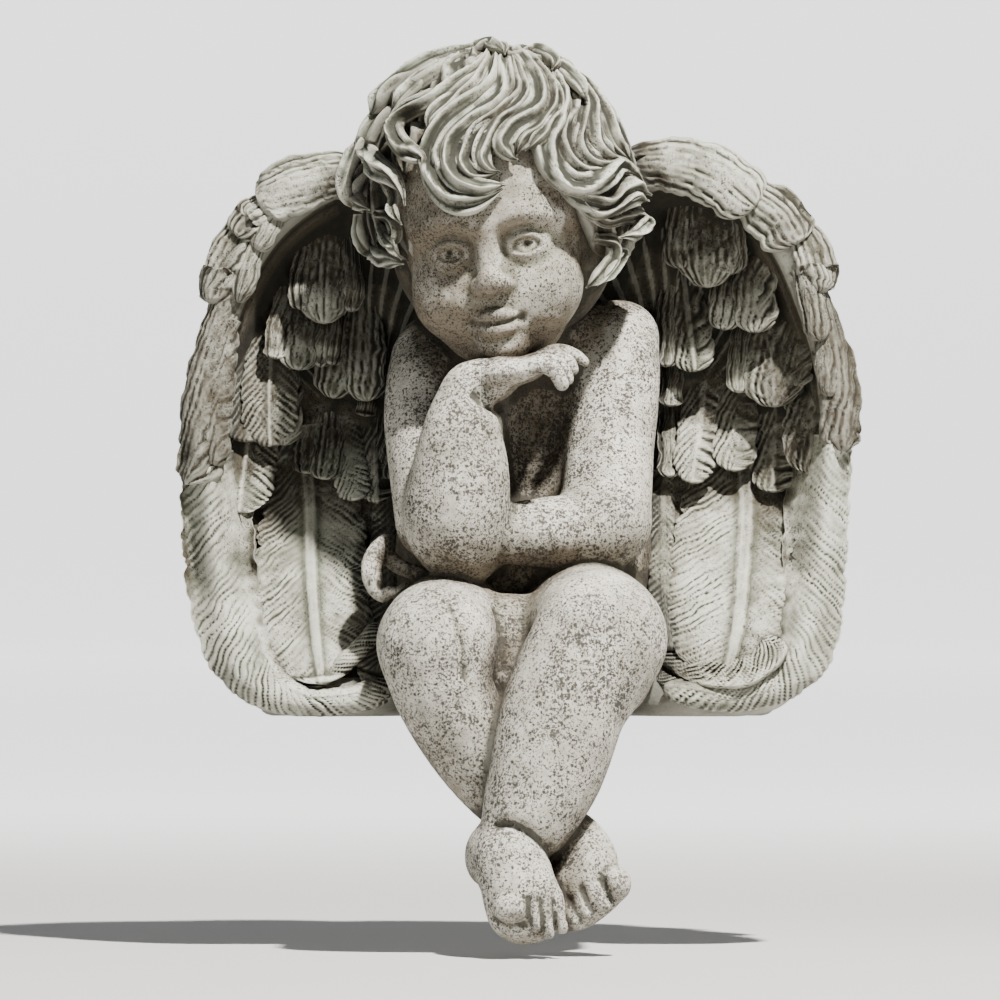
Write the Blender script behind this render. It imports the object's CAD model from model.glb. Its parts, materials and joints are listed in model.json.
# %% [markdown]
# # A stone putto that sits on a ledge
# The real thing is one casting: a chubby winged child, seated, with crossed legs hanging down and its chin
# on one hand. In Blender it is easier to make it as a few closed meshes that sink into each other: the flesh,
# the head, the hair, the two wings. All of them are measured in *parts*, hundredths of the figure's height,
# as sculptors do, so that one length sets the size of everything.

import json
import math

import bpy
import numpy as np
from mathutils import Euler, Matrix, Vector

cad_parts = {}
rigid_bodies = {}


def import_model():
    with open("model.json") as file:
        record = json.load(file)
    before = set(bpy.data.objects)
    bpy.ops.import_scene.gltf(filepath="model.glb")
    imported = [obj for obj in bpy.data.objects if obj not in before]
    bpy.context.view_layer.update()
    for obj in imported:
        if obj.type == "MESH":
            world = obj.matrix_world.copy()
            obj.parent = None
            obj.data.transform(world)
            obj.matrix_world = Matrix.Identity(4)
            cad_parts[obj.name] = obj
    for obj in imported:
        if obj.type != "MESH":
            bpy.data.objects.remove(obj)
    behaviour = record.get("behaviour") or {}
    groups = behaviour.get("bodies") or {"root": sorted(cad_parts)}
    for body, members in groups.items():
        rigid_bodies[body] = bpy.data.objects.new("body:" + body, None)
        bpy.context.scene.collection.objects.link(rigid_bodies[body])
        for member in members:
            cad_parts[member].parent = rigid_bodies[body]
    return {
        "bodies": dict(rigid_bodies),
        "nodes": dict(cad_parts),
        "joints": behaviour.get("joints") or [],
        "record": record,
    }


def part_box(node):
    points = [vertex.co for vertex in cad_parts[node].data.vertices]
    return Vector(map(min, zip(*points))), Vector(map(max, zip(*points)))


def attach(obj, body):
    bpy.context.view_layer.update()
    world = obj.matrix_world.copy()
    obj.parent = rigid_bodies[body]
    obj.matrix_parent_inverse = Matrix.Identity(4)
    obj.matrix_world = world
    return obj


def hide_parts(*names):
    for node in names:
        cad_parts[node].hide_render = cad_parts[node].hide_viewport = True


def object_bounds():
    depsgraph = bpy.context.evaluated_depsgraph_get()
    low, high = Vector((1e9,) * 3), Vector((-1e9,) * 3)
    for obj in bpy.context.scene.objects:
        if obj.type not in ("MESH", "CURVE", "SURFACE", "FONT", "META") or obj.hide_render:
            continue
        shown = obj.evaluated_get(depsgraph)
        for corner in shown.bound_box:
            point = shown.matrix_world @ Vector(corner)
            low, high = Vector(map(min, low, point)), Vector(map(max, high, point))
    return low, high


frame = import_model()
cad_box = [list(corner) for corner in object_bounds()]
low, high = (np.array(corner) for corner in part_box("putto"))
PART = 0.004  # one hundredth of the 0.40 m from the lowest toe to the top of the hair
GRAIN = 0.37  # of the clay's grid, in parts
print("the solid is", np.round((high - low) * 1000), "mm, and a part is", PART * 1000, "mm")

# %% [markdown]
# ## Where the eye stands
# The statue was seen from straight in front, level, and from some way off, which keeps the knees from
# looking huge. A long lens does the same here. With the camera fixed first, a place in its picture and a
# depth give a place in space, so a form can be put where it is seen and still have its depth.

# %% Camera
DISTANCE = 4.0
LIFT = math.radians(0.0)
SCALE = 9.02  # pixels to a part, on the plane of the seat's front
PICTURE = 1000
MIDDLE = PICTURE // 2
ORIGIN_ACROSS, ORIGIN_DOWN = 517, 715  # where the picture shows the origin
eye_back = np.array([0, -math.cos(LIFT), math.sin(LIFT)])
target = np.array([(MIDDLE - ORIGIN_ACROSS) / SCALE, 0, (ORIGIN_DOWN - MIDDLE) / SCALE]) * PART
eye = target + DISTANCE * eye_back
focal = SCALE / PART * DISTANCE  # in pixels

camera = bpy.data.objects.new("camera", bpy.data.cameras.new("camera"))
camera.location = eye
camera.rotation_euler = (math.pi / 2 - LIFT, 0, 0)
camera.data.sensor_width = 36
camera.data.lens = 36 * focal / PICTURE
bpy.context.scene.collection.objects.link(camera)
bpy.context.scene.camera = camera
print("lens", round(camera.data.lens), "mm at", DISTANCE, "m")


# %% From the picture to space
def spot(across, down, depth):
    """Where (across, down) of the picture lies, in parts, if it is depth parts behind the origin."""
    up = np.array([0, math.sin(LIFT), math.cos(LIFT)])
    ray = -focal * eye_back + (across - MIDDLE) * np.array([1.0, 0, 0]) + (MIDDLE - down) * up
    return (eye + ray * (depth * PART - eye[1]) / ray[1]) / PART


def reach(pixels, depth):
    """A length of so many pixels, in parts, at that depth."""
    return pixels / SCALE * (DISTANCE + depth * PART) / DISTANCE


def seen(*stations):
    """Stations (across, down, depth, radius in pixels) as (x, y, z, radius) in parts."""
    return [(*spot(a, d, depth), reach(radius, depth)) for a, d, depth, radius in stations]


print("the picture's middle is at", spot(MIDDLE, MIDDLE, 0).round(2), "parts")

# %% [markdown]
# ## Clay
# Soft flesh has no edges to model from: every form swells into the next. A *distance field* suits that.
# Each point of a grid holds its distance to the surface, below zero inside. Adding a form takes the smaller
# distance, and a smooth minimum rounds the join, like clay pressed on with a thumb. Cutting takes the larger.
# Voxel remesh blends too, but only by smoothing everything alike; here each join has its own softness.


# %% The grid and its tools
def spline(points, count, closed=False):
    """Catmull-Rom curve through the points, as an array of count points."""
    p = np.asarray(points, float)
    p = np.vstack([p[-1], p, p[0], p[1]]) if closed else np.vstack([2 * p[0] - p[1], p, 2 * p[-1] - p[-2]])
    spans = len(p) - 3
    t = np.linspace(0, spans, count, endpoint=not closed)
    i = np.minimum(t.astype(int), spans - 1)
    f = (t - i)[:, None]
    a, b, c, d = p[i], p[i + 1], p[i + 2], p[i + 3]
    return 0.5 * (2 * b + (c - a) * f + (2 * a - 5 * b + 4 * c - d) * f**2 + (3 * b - a - 3 * c + d) * f**3)


def ease(low, high, x):
    """0 at low, 1 at high, smooth between them."""
    t = np.clip((x - low) / (high - low), 0, 1)
    return t * t * (3 - 2 * t)


FAR = 9.0  # a distance, in parts, that counts as far from any surface
MARGIN = 0.8  # parts of the grid round a form that are reckoned anew besides its blend


class Clay:
    """Distances to a surface on a grid, in parts. A form is added with blend, the width of its soft join."""

    def __init__(self, low, high, grain):
        self.grain = grain
        self.start = np.floor(np.asarray(low, float) / grain).astype(int)
        size = np.ceil(np.asarray(high, float) / grain).astype(int) + 1 - self.start
        self.field = np.full(size, FAR, np.float32)

    def window(self, low, high):
        """The slices of the grid that hold a box, and the coordinates there."""
        first = np.floor(np.asarray(low) / self.grain).astype(int) - self.start
        last = np.ceil(np.asarray(high) / self.grain).astype(int) + 1 - self.start
        first, last = (np.clip(cell, 0, self.field.shape) for cell in (first, last))
        axes = [((s + np.arange(a, b)) * self.grain).astype(np.float32)
                for s, a, b in zip(self.start, first, last)]
        return tuple(slice(a, b) for a, b in zip(first, last)), np.ix_(*axes)

    def litres(self):
        """How much stone the surface holds so far."""
        return round(float((self.field < 0).sum()) * (self.grain * PART * 10) ** 3, 3)

    def press(self, room, distance, blend, cut=False):
        """Adds or cuts the form at that distance, in a window of the grid."""
        sign = -1 if cut else 1
        here = sign * self.field[room]
        soft = np.maximum(blend - np.abs(here - distance), 0)
        self.field[room] = sign * (np.minimum(here, distance) - soft * soft / (4 * blend))

    def ball(self, centre, radii, turn=(0, 0, 0), blend=1.0, cut=False, frame=None):
        """An ellipsoid; turn is in degrees."""
        radii = np.ones(3) * radii
        place = Matrix.LocRotScale(Vector(centre), Euler([math.radians(a) for a in turn]), None)
        place = (frame @ place) if frame else place
        middle, axes = np.array(place.translation), np.array(place.to_3x3())
        extent = np.sqrt(((axes * radii) ** 2).sum(1)) + blend + MARGIN
        room, (x, y, z) = self.window(middle - extent, middle + extent)
        x, y, z = x - middle[0], y - middle[1], z - middle[2]
        local = [axes[0, k] * x + axes[1, k] * y + axes[2, k] * z for k in range(3)]
        near = np.sqrt(sum((q / r) ** 2 for q, r in zip(local, radii)))
        far = np.sqrt(sum((q / r**2) ** 2 for q, r in zip(local, radii))) + 1e-6
        self.press(room, near * (near - 1) / far, blend, cut)

    def limb(self, stations, blend=1.0, cut=False, frame=None, fine=4):
        """A round form through stations (x, y, z, radius), with fine spans from each to the next."""
        s = spline(stations, fine * (len(stations) - 1) + 1)
        if frame:
            s[:, :3] = [frame @ Vector(p) for p in s[:, :3]]
        pad = s[:, 3:].max() + blend + MARGIN
        room, (x, y, z) = self.window(s[:, :3].min(0) - pad, s[:, :3].max(0) + pad)
        distance = np.full([x.size, y.size, z.size], FAR, np.float32)
        for a, b in zip(s, s[1:]):
            side = max(a[3], b[3]) + blend + MARGIN
            near = []
            for k, axis in enumerate((x, y, z)):
                flat = axis.ravel()
                near.append(slice(*np.searchsorted(flat, (min(a[k], b[k]) - side, max(a[k], b[k]) + side))))
            near = tuple(near)
            px, py, pz = x[near[0]] - a[0], y[:, near[1]] - a[1], z[:, :, near[2]] - a[2]
            way = b[:3] - a[:3]
            share = np.clip((px * way[0] + py * way[1] + pz * way[2]) / max(way @ way, 1e-9), 0, 1)
            off = [q - share * w for q, w in zip((px, py, pz), way)]
            off = np.sqrt(off[0] ** 2 + off[1] ** 2 + off[2] ** 2)
            distance[near] = np.minimum(distance[near], off - (a[3] + share * (b[3] - a[3])))
        self.press(room, distance, blend, cut)


# %% From the grid to a mesh
def skin(clay, name):
    """The surface as a mesh in metres: one point in each cell that it crosses, joined by quads."""
    inside = clay.field < 0
    corners = [(i, j, k) for i in (0, 1) for j in (0, 1) for k in (0, 1)]
    n = np.array(clay.field.shape) - 1
    held = sum(inside[i:i + n[0], j:j + n[1], k:k + n[2]].astype(np.int8) for i, j, k in corners)
    cells = np.argwhere((held > 0) & (held < 8))
    number = np.full(n, -1, np.int32)
    number[tuple(cells.T)] = np.arange(len(cells))
    total, crossings = np.zeros((len(cells), 3)), np.zeros((len(cells), 1))
    quads = []
    for axis in range(3):
        step = np.eye(3, dtype=int)[axis]
        others = [np.eye(3, dtype=int)[k] for k in ((axis + 1) % 3, (axis + 2) % 3)]
        for corner in (0 * step, others[0], others[1], others[0] + others[1]):
            a = clay.field[tuple((cells + corner).T)]
            b = clay.field[tuple((cells + corner + step).T)]
            crossed = (a < 0) != (b < 0)
            share = np.where(crossed, a / np.where(crossed, a - b, 1), 0)
            point = cells + corner + share[:, None] * step
            total += point * crossed[:, None]
            crossings += crossed[:, None]
        a = clay.field[tuple(cells.T)] < 0
        b = clay.field[tuple((cells + step).T)] < 0
        for these, order in ((a & ~b, 1), (b & ~a, -1)):
            c = cells[these]
            around = [c, c - others[0], c - others[0] - others[1], c - others[1]][::order]
            quads.append(np.stack([number[tuple(q.T)] for q in around], 1))
    points = (clay.start + total / crossings) * clay.grain * PART
    mesh = bpy.data.meshes.new(name)
    quads = np.concatenate(quads)
    quads = quads[(quads >= 0).all(1)]
    mesh.vertices.add(len(points))
    mesh.vertices.foreach_set("co", points.astype(np.float32).ravel())
    mesh.loops.add(quads.size)
    mesh.loops.foreach_set("vertex_index", quads.astype(np.int32).ravel())
    mesh.polygons.add(len(quads))
    mesh.polygons.foreach_set("loop_start", np.arange(0, quads.size, 4, dtype=np.int32))
    mesh.update(calc_edges=True)
    mesh.validate()
    made = bpy.data.objects.new(name, mesh)
    bpy.context.scene.collection.objects.link(made)
    mesh.shade_smooth()
    print(name, "has", len(quads), "quads")
    return made


# %% [markdown]
# ## The flesh
# Arms and legs are stations along a bone, each with the place where it is seen, its depth and its girth.
# An infant's limbs are barrels: thickest in the middle, pinched at wrist and ankle. The chin is carried by
# the right hand, whose elbow stands on the thigh, and the left arm lies across the lap behind that elbow.

# %% Torso and shoulders
flesh = Clay((-19, -38, -27), (19, 14, 60), GRAIN)


def shape_torso(clay):
    clay.ball((0.5, 3.0, 12.0), (15.0, 11.5, 11.5))
    clay.ball((0.8, 0.5, 21.0), (14.0, 10.5, 11.0), blend=4)
    clay.ball((0.8, 3.0, 33.0), (12.0, 8.5, 11.0), blend=4)
    clay.ball((-6.0, 4.0, 41.0), (7.0, 6.0, 4.5), blend=3)
    clay.ball((7.0, 4.0, 41.4), (7.2, 6.0, 4.2), blend=3)
    clay.limb([(0.0, 3.0, 42.0, 5.6), (-1.2, -1.0, 47.0, 5.4), (-1.7, -2.5, 52.0, 6.0)], blend=3)
    # The chest is hollow behind the folded arms.
    for depth, radius in ((-9, 40), (-5.5, 34)):
        clay.limb(seen((548, 385, depth, radius), (540, 435, depth, radius), (536, 492, depth - 2, radius)),
                  blend=1.5, cut=True)


shape_torso(flesh)
print("with the torso, the flesh holds", flesh.litres(), "litres")


# %% The legs
def shape_legs(clay):
    clay.limb(seen((460, 642, 3, 76), (452, 640, -9, 70), (437, 643, -20, 60), (437, 646, -23.4, 57)),
              blend=2.5)
    clay.limb(seen((437, 645, -23.4, 57), (442, 685, -23.8, 51), (462, 728, -23.2, 47), (487, 768, -22.6, 42),
                   (512, 800, -22, 35), (542, 822, -21.5, 29)), blend=1.2)
    clay.limb(seen((575, 640, 3, 82), (588, 638, -9, 75), (599, 638, -20, 68), (600, 640, -23, 65)),
              blend=0.8)
    clay.limb(seen((600, 640, -23, 65), (584, 668, -24.2, 65), (566, 702, -25.4, 62), (554, 743, -26.4, 60),
                   (545, 775, -27, 56), (532, 806, -27.6, 49), (522, 830, -28, 41)), blend=0.8)
    clay.ball(spot(600, 690, -18), (4.6, 6.0, 3.4), blend=2.5)


shape_legs(flesh)
print("with the legs too, the flesh holds", flesh.litres(), "litres")


# %% The feet
def toes(clay, *tips):
    """Each toe is (across, down, radius in pixels, depth, way up to its root across and down)."""
    for across, down, radius, depth, over, up in tips:
        root = (across + over, down - up, depth + 2.2, radius + 2)
        joint = (across + 0.3 * over, down - 9, depth + 0.2, radius * 0.9)
        clay.limb(seen(root, joint, (across, down, depth - 0.3, radius)), blend=0.32)


def shape_feet(clay):
    # Behind: the right foot, big toe outermost.
    clay.limb(seen((552, 828, -21.5, 29), (575, 840, -23.6, 28), (588, 862, -25.4, 30),
                   (588, 880, -26.4, 27)), blend=0.8)
    clay.limb(seen((613, 886, -27.4, 17), (598, 898, -27.6, 19), (581, 910, -27.6, 19),
                   (568, 916, -27.4, 15)), blend=1.2)
    toes(clay, (604, 903, 9, -28.9, -4, 22), (589, 912, 8, -28.9, -6, 22), (576, 919, 7.5, -28.7, -6, 20))
    clay.ball(spot(565, 892, -25.6), (2.6, 3.0, 4.0), blend=1.4)
    clay.ball(spot(616, 883, -28.2), (1.65, 2.0, 1.85), blend=0.4)
    # In front: the left foot, heel to one side, its big toe a ball that faces forwards.
    clay.limb(seen((519, 838, -28, 37), (512, 860, -29.4, 39), (517, 882, -30.6, 37)), blend=0.5)
    clay.ball(spot(486, 856, -26.4), (2.3, 3.0, 3.3), blend=1.4)
    clay.ball(spot(525, 907, -31.6), (4.25, 3.4, 4.1), blend=1.2)
    toes(clay, (562, 928, 7.0, -33.0, -8, 32), (549, 932, 7.5, -33.7, -6, 34), (536, 925, 7.5, -34.2, -4, 32))
    clay.ball(spot(511, 907, -33.9), (2.0, 1.9, 1.7), blend=0.5)


shape_feet(flesh)
print("with the feet too, the flesh holds", flesh.litres(), "litres")


# %% The arms
def shape_arms(clay):
    clay.limb(seen((430, 364, 1, 40), (425, 387, -2.4, 39), (423, 422, -5, 39), (429, 470, -8, 40),
                   (437, 520, -10.5, 42)), blend=2.0)
    clay.limb(seen((462, 546, -13.2, 41), (456, 520, -14.2, 53), (459, 488, -15, 51), (461, 460, -15.4, 46),
                   (461, 437, -15.6, 40), (462, 416, -15.6, 33), (464, 400, -15.5, 27),
                   (468, 388, -15.5, 24)), blend=0.7)
    clay.ball(spot(479, 420, -16.0), (2.3, 2.6, 1.9), (0, 20, 0), blend=1.4)
    clay.limb(seen((622, 338, 4, 37), (620, 350, 2, 39), (619, 375, 0, 41), (616, 410, -1.5, 42),
                   (612, 448, -3.5, 42), (609, 483, -5.5, 43.5), (605, 515, -7.4, 46)), blend=2.0)
    clay.limb(seen((604, 524, -7.8, 45), (576, 531, -9.3, 38), (550, 532, -10.8, 35.5), (528, 533, -12, 33),
                   (500, 534, -12.6, 29)), blend=1.0)
    clay.ball(spot(478, 552, -10.5), (3.2, 3.2, 2.4))


shape_arms(flesh)
print("with the arms too, the flesh holds", flesh.litres(), "litres")


# %% The hand that carries the chin
def shape_hand(clay):
    clay.limb(seen((467, 392, -15.5, 23), (478, 379, -15.5, 20), (497, 374, -15.6, 17)), blend=1.0)
    clay.ball(spot(510, 372, -15.4), (4.0, 4.4, 1.6), (0, -8, 0), blend=1.0)
    clay.ball(spot(494, 388, -14.6), (2.4, 2.8, 1.6), (0, -20, 0), blend=1.0)
    fingers = (
        ((524, 370, -18.4, 10), (540, 365, -18.8, 9), (554, 370, -18.9, 8.5), (562, 384, -18.8, 7.5)),
        ((528, 367, -17.0, 10), (546, 362, -17.3, 9), (561, 367, -17.4, 8), (568, 379, -17.3, 6.5)),
        ((530, 364, -15.4, 10), (552, 357, -15.6, 8.5), (568, 362, -15.7, 7.5), (573, 370, -15.7, 6)),
        ((530, 363, -13.6, 10), (556, 352, -13.8, 8.5), (574, 355, -13.9, 7), (585, 362, -13.9, 5)),
    )
    for finger in fingers:
        clay.limb(seen(*finger), blend=0.35)
    clay.limb(seen((498, 376, -11.6, 12), (520, 368, -10.2, 10), (540, 363, -10.0, 8.5)), blend=0.8)


shape_hand(flesh)
print("with the hand too, the flesh holds", flesh.litres(), "litres")


# %% The cloth that shows at the hip and between the thighs
def shape_cloth(clay):
    clay.limb(seen((386, 536, -8.6, 4), (377, 550, -9.6, 9), (372, 566, -10.6, 11), (374, 584, -11.6, 10),
                   (382, 597, -12.2, 6), (390, 594, -12.4, 4)), blend=0.5)
    clay.limb(seen((384, 552, -8.2, 9), (398, 566, -9.4, 8), (414, 572, -10.0, 8), (436, 582, -10.0, 8)),
              blend=0.8)
    clay.limb(seen((384, 590, -12.6, 4), (396, 590, -13.0, 5), (410, 586, -12.0, 6)), blend=0.6)
    clay.ball(spot(395, 579, -13.5), (0.75, 2.8, 0.85), blend=0.3, cut=True)
    clay.limb(seen((512, 626, -13.5, 30), (512, 650, -16.5, 27), (509, 676, -18.6, 20),
                   (506, 700, -19.6, 12)), blend=1.5)
    clay.limb(seen((484, 612, -12.4, 6), (500, 606, -13.0, 7), (516, 604, -13.2, 7), (534, 604, -12.6, 6)),
              blend=1.2)


shape_cloth(flesh)
print("with the cloth too, the flesh holds", flesh.litres(), "litres")


# %% Folds that the chubby limbs make
NEAREST, DEEPEST, LOOK_STEP = -40.0, 14.0, 0.15  # depths between which the surface is looked for


def seen_depth(clay, across, down):
    """The depth at which the surface shows at (across, down) of the picture."""
    depths = np.arange(NEAREST, DEEPEST, LOOK_STEP)
    near, far = spot(across, down, NEAREST), spot(across, down, DEEPEST)
    ray = near + (depths - NEAREST)[:, None] / (DEEPEST - NEAREST) * (far - near)
    cells = np.round(ray / clay.grain).astype(int) - clay.start
    inside = clay.field[tuple(np.clip(cells, 0, np.array(clay.field.shape) - 1).T)] < 0
    return depths[np.argmax(inside)] if inside.any() else None


def crease(clay, points, wide=0.42, sunk=0.12):
    """A soft groove along points (across, down) of the picture, cut where the surface is seen."""
    found = [(a, d, seen_depth(clay, a, d)) for a, d in spline(points, 3 * len(points))]
    stations = [(a, d, depth + sunk, SCALE * wide) for a, d, depth in found if depth is not None]
    clay.limb(seen(*stations), blend=0.8, cut=True, fine=1)


for line, wide in (
    ([(474, 396), (483, 404), (493, 409), (501, 408)], 0.34),  # wrist
    ([(497, 824), (511, 824), (529, 832), (546, 847), (554, 860)], 0.40),  # ankle in front
    ([(529, 898), (529, 912), (531, 926)], 0.26),  # between the toes in front
    ([(541, 900), (542, 916), (545, 932)], 0.22),
    ([(554, 904), (555, 918), (557, 930)], 0.22),
    ([(494, 920), (506, 927), (522, 926)], 0.34),
    ([(603, 880), (607, 890), (611, 900)], 0.26),  # between the toes behind
    ([(582, 888), (587, 902), (594, 916)], 0.24),
    ([(569, 898), (575, 911), (581, 923)], 0.22),
    ([(372, 556), (366, 568), (369, 584)], 0.20),  # folds of the curled cloth
    ([(380, 556), (377, 572), (380, 588)], 0.18),
):
    crease(flesh, line, wide)
# Two broad, shallow ones lie in the lap.
crease(flesh, [(449, 600), (459, 624), (465, 650), (466, 676)], 0.55, -0.38)
crease(flesh, [(497, 610), (503, 640), (505, 668)], 0.5, -0.3)
putto_body = skin(flesh, "putto_body")

# %% [markdown]
# ## The seat
# Figure and wings were cast on one thick slab, which is nearly hidden: it shows as a flat line between the
# wings and from below. It is a rounded box in clay, with the same flat underside that the part rests on.

# %% The slab
SEAT_WIDTH, SEAT_FRONT, SEAT_BACK, SEAT_THICKNESS = 56.5, 7.5, 16.5, 2.8  # in parts
SEAT_UNDERSIDE, SEAT_ROUNDING, SEAT_GRAIN = 0.06, 0.9, 0.7


def block(clay, low, high, rounding, blend=0.5):
    """A box with rounded edges."""
    middle, half = (np.array(low) + high) / 2, (np.array(high) - low) / 2 - rounding
    room, (x, y, z) = clay.window(np.array(low) - blend - 1, np.array(high) + blend + 1)
    out = [np.abs(q - m) - h for q, m, h in zip((x, y, z), middle, half)]
    beyond = np.sqrt(sum(np.maximum(q, 0) ** 2 for q in out))
    within = np.minimum(np.maximum(np.maximum(out[0], out[1]), out[2]), 0)
    clay.press(room, beyond + within - rounding, blend)


seat = Clay((-30, -13, -1), (30, 19, 9), SEAT_GRAIN)
block(seat, (-SEAT_WIDTH / 2, -SEAT_FRONT, SEAT_UNDERSIDE), (SEAT_WIDTH / 2, SEAT_BACK, SEAT_THICKNESS),
      SEAT_ROUNDING)
seat_slab = skin(seat, "seat_slab")

# %% [markdown]
# ## The head
# The head is its own clay with a finer grid, because lids, lips and nostrils are only a millimetre or two.
# It is shaped upright in its own frame and then pitched, rolled and turned as a whole, so both halves of the
# face stay alike. The face is a plain, calm infant's by the usual proportions: eyes a little below the
# middle of the head and one eye's width apart, full cheeks, a short nose, a small mouth close under it.

# %% The head's place, and its larger forms
HEAD_CENTRE = (-2.5, -6.5, 54.4)
HEAD_TURN = (9.0, -7.0, -6.0)  # pitch, roll and turn, in degrees
HEAD_GRAIN = 0.205
head_turn = Euler([math.radians(angle) for angle in HEAD_TURN]).to_matrix().to_4x4()
head_frame = Matrix.Translation(HEAD_CENTRE) @ head_turn
head = Clay((-17, -22, 36), (12, 9, 70), HEAD_GRAIN)


def shape_skull(clay):
    clay.ball((0, 2.0, 2.6), (11.4, 12.0, 12.0), frame=head_frame)
    clay.ball((0, -3.0, 3.2), (10.0, 8.4, 8.8), blend=3, frame=head_frame)
    clay.ball((0, -3.2, -5.2), (9.0, 8.0, 9.2), blend=3, frame=head_frame)
    clay.ball((0, -5.0, -12.2), (5.6, 4.6, 2.6), blend=2.5, frame=head_frame)
    clay.ball((0, -7.6, -8.8), (4.2, 4.2, 3.8), blend=2.5, frame=head_frame)
    clay.ball((0, -9.9, -12.5), (2.3, 2.1, 1.9), blend=2.2, frame=head_frame)
    for side in (-1, 1):
        clay.ball((side * 5.1, -6.9, -6.9), (4.1, 4.2, 4.2), blend=2.5, frame=head_frame)


shape_skull(head)
print("with its larger forms, the head holds", head.litres(), "litres")


# %% Brow, nose, mouth and ears
def shape_features(clay):
    limb = lambda stations, **more: clay.limb(stations, frame=head_frame, **more)
    ball = lambda *place, **more: clay.ball(*place, frame=head_frame, **more)
    for side in (-1, 1):
        limb([(side * 1.6, -10.9, 0.9, 0.7), (side * 4.2, -10.7, 2.0, 1.1), (side * 7.4, -8.2, 1.0, 0.9)],
             blend=2.2)
        ball((side * 3.9, -12.2, -1.4), (2.9, 2.8, 1.9), blend=1.8, cut=True)
    limb([(0, -10.3, 0.6, 0.9), (0, -11.3, -2.2, 1.0), (0, -12.3, -4.4, 1.25)], blend=1.6)
    ball((0, -12.95, -5.0), (1.5, 1.4, 1.3), blend=0.7)
    for side in (-1, 1):
        ball((side * 1.4, -11.9, -5.4), (0.95, 1.15, 0.85), blend=0.7)
        ball((side * 0.72, -12.7, -6.25), (0.42, 0.55, 0.34), blend=0.3, cut=True)
    limb([(0, -12.3, -6.9, 0.32), (0, -12.3, -8.0, 0.34)], blend=0.7, cut=True)
    for side in (-1, 1):
        limb([(side * 2.6, -10.8, -9.25, 0.34), (side * 1.3, -11.8, -8.85, 0.66),
              (side * 0.45, -12.15, -8.7, 0.70), (0, -12.1, -8.85, 0.62)], blend=0.4)
        limb([(side * 2.2, -10.8, -9.8, 0.34), (side * 1.1, -11.7, -10.3, 0.76), (0, -11.95, -10.45, 0.9)],
             blend=0.5)
        limb([(side * 2.8, -11.1, -9.35, 0.2), (side * 1.3, -12.2, -9.5, 0.24), (0, -12.6, -9.6, 0.26)],
             blend=0.25, cut=True)
        ball((side * 2.95, -11.4, -9.35), 0.42, blend=0.8, cut=True)
        ball((side * 10.3, 0.2, -1.8), (1.3, 2.1, 3.0), (8, side * 6, side * -16), blend=0.5)
        ball((side * 11.3, -0.5, -1.4), (0.7, 1.2, 1.9), (8, side * 6, side * -16), blend=0.5, cut=True)
        ball((side * 11.0, -1.5, -2.2), (0.45, 0.5, 0.8), blend=0.3)
    limb([(-1.3, -12.5, -11.5, 0.35), (0, -12.7, -11.6, 0.4), (1.3, -12.5, -11.5, 0.35)], blend=1.0, cut=True)


shape_features(head)
print("with its features, the head holds", head.litres(), "litres")


# %% The eyes: lids round a ball, with a slit cut in them, and the ball's iris hollowed
def shape_eye(clay, side):
    place = head_frame @ Matrix.Translation((side * 3.85, -8.5, -1.7)) @ Matrix.Rotation(side * 0.16, 4, "Z")

    def limb(stations, **more):
        clay.limb([(side * x, y, z, r) for x, y, z, r in stations], frame=place, **more)

    clay.ball((0, 0, 0), 2.75, blend=0.7, frame=place)
    limb([(-2.3, -2.0, 0.9, 0.22), (-1.0, -2.3, 1.75, 0.34), (0.6, -2.25, 1.85, 0.34),
          (2.2, -1.9, 1.0, 0.22)], blend=0.3, cut=True)
    limb([(-2.15, -2.3, -0.3, 0.2), (-1.1, -2.7, 0.0, 0.8), (0, -2.85, 0.1, 1.02), (1.1, -2.7, 0.0, 0.82),
          (2.2, -2.2, -0.35, 0.2)], blend=0.15, cut=True)
    clay.ball((0, 0, 0), 2.28, blend=0.08, frame=place)
    clay.ball((side * 0.12, -2.8, 0.12), 0.9, blend=0.1, cut=True, frame=place)
    limb([(0.12, -1.85, 0.25, 0.3), (0.12, -2.6, 0.25, 0.34)], blend=0.1, cut=True)


for side in (-1, 1):
    shape_eye(head, side)
# The outermost cells count as air, so that the neck ends closed, inside the body.
head.field[[0, -1]] = head.field[:, [0, -1]] = head.field[:, :, [0, -1]] = FAR
putto_head = skin(head, "putto_head")

# %% [markdown]
# ## Carved strips
# Locks of hair and feathers repeat one idea: a strip that follows a line on the body, crowned across, with
# grooves cut along or across it. Geometry Nodes do this well. Each strip's middle line is a chain of points
# with a girth and an upward direction; the tree sweeps a ribbed outline along it and then cuts the grooves.
# Modelling every lock by hand would allow more surprise, but a hundred of them would take days.


# %% A short way to write node trees
class Net:
    """A node tree that is written as expressions. Values may be numbers or sockets."""

    def __init__(self, group):
        self.group = group

    def add(self, kind, *values, out=0, **settings):
        """A node with its sockets set in order (None leaves one alone); returns one of its outputs."""
        node = self.group.nodes.new(kind)
        for key, value in settings.items():
            setattr(node, key, value)
        sockets = [s for s in node.inputs if s.enabled]
        for socket, value in zip(sockets, values):
            if isinstance(value, bpy.types.NodeSocket):
                self.group.links.new(value, socket)
            elif value is not None:
                socket.default_value = value
        return [s for s in node.outputs if s.enabled][out]

    def math(self, operation, a, b=None):
        return self.add("ShaderNodeMath", a, b, operation=operation)

    def plus(self, a, b):
        return self.math("ADD", a, b)

    def less(self, a, b):
        return self.math("SUBTRACT", a, b)

    def times(self, first, *others):
        for other in others:
            first = self.math("MULTIPLY", first, other)
        return first

    def fade(self, value, low, high):
        """0 at low, 1 at high, smooth between them."""
        return self.add("ShaderNodeMapRange", value, low, high, 0.0, 1.0, interpolation_type="SMOOTHSTEP")


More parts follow.
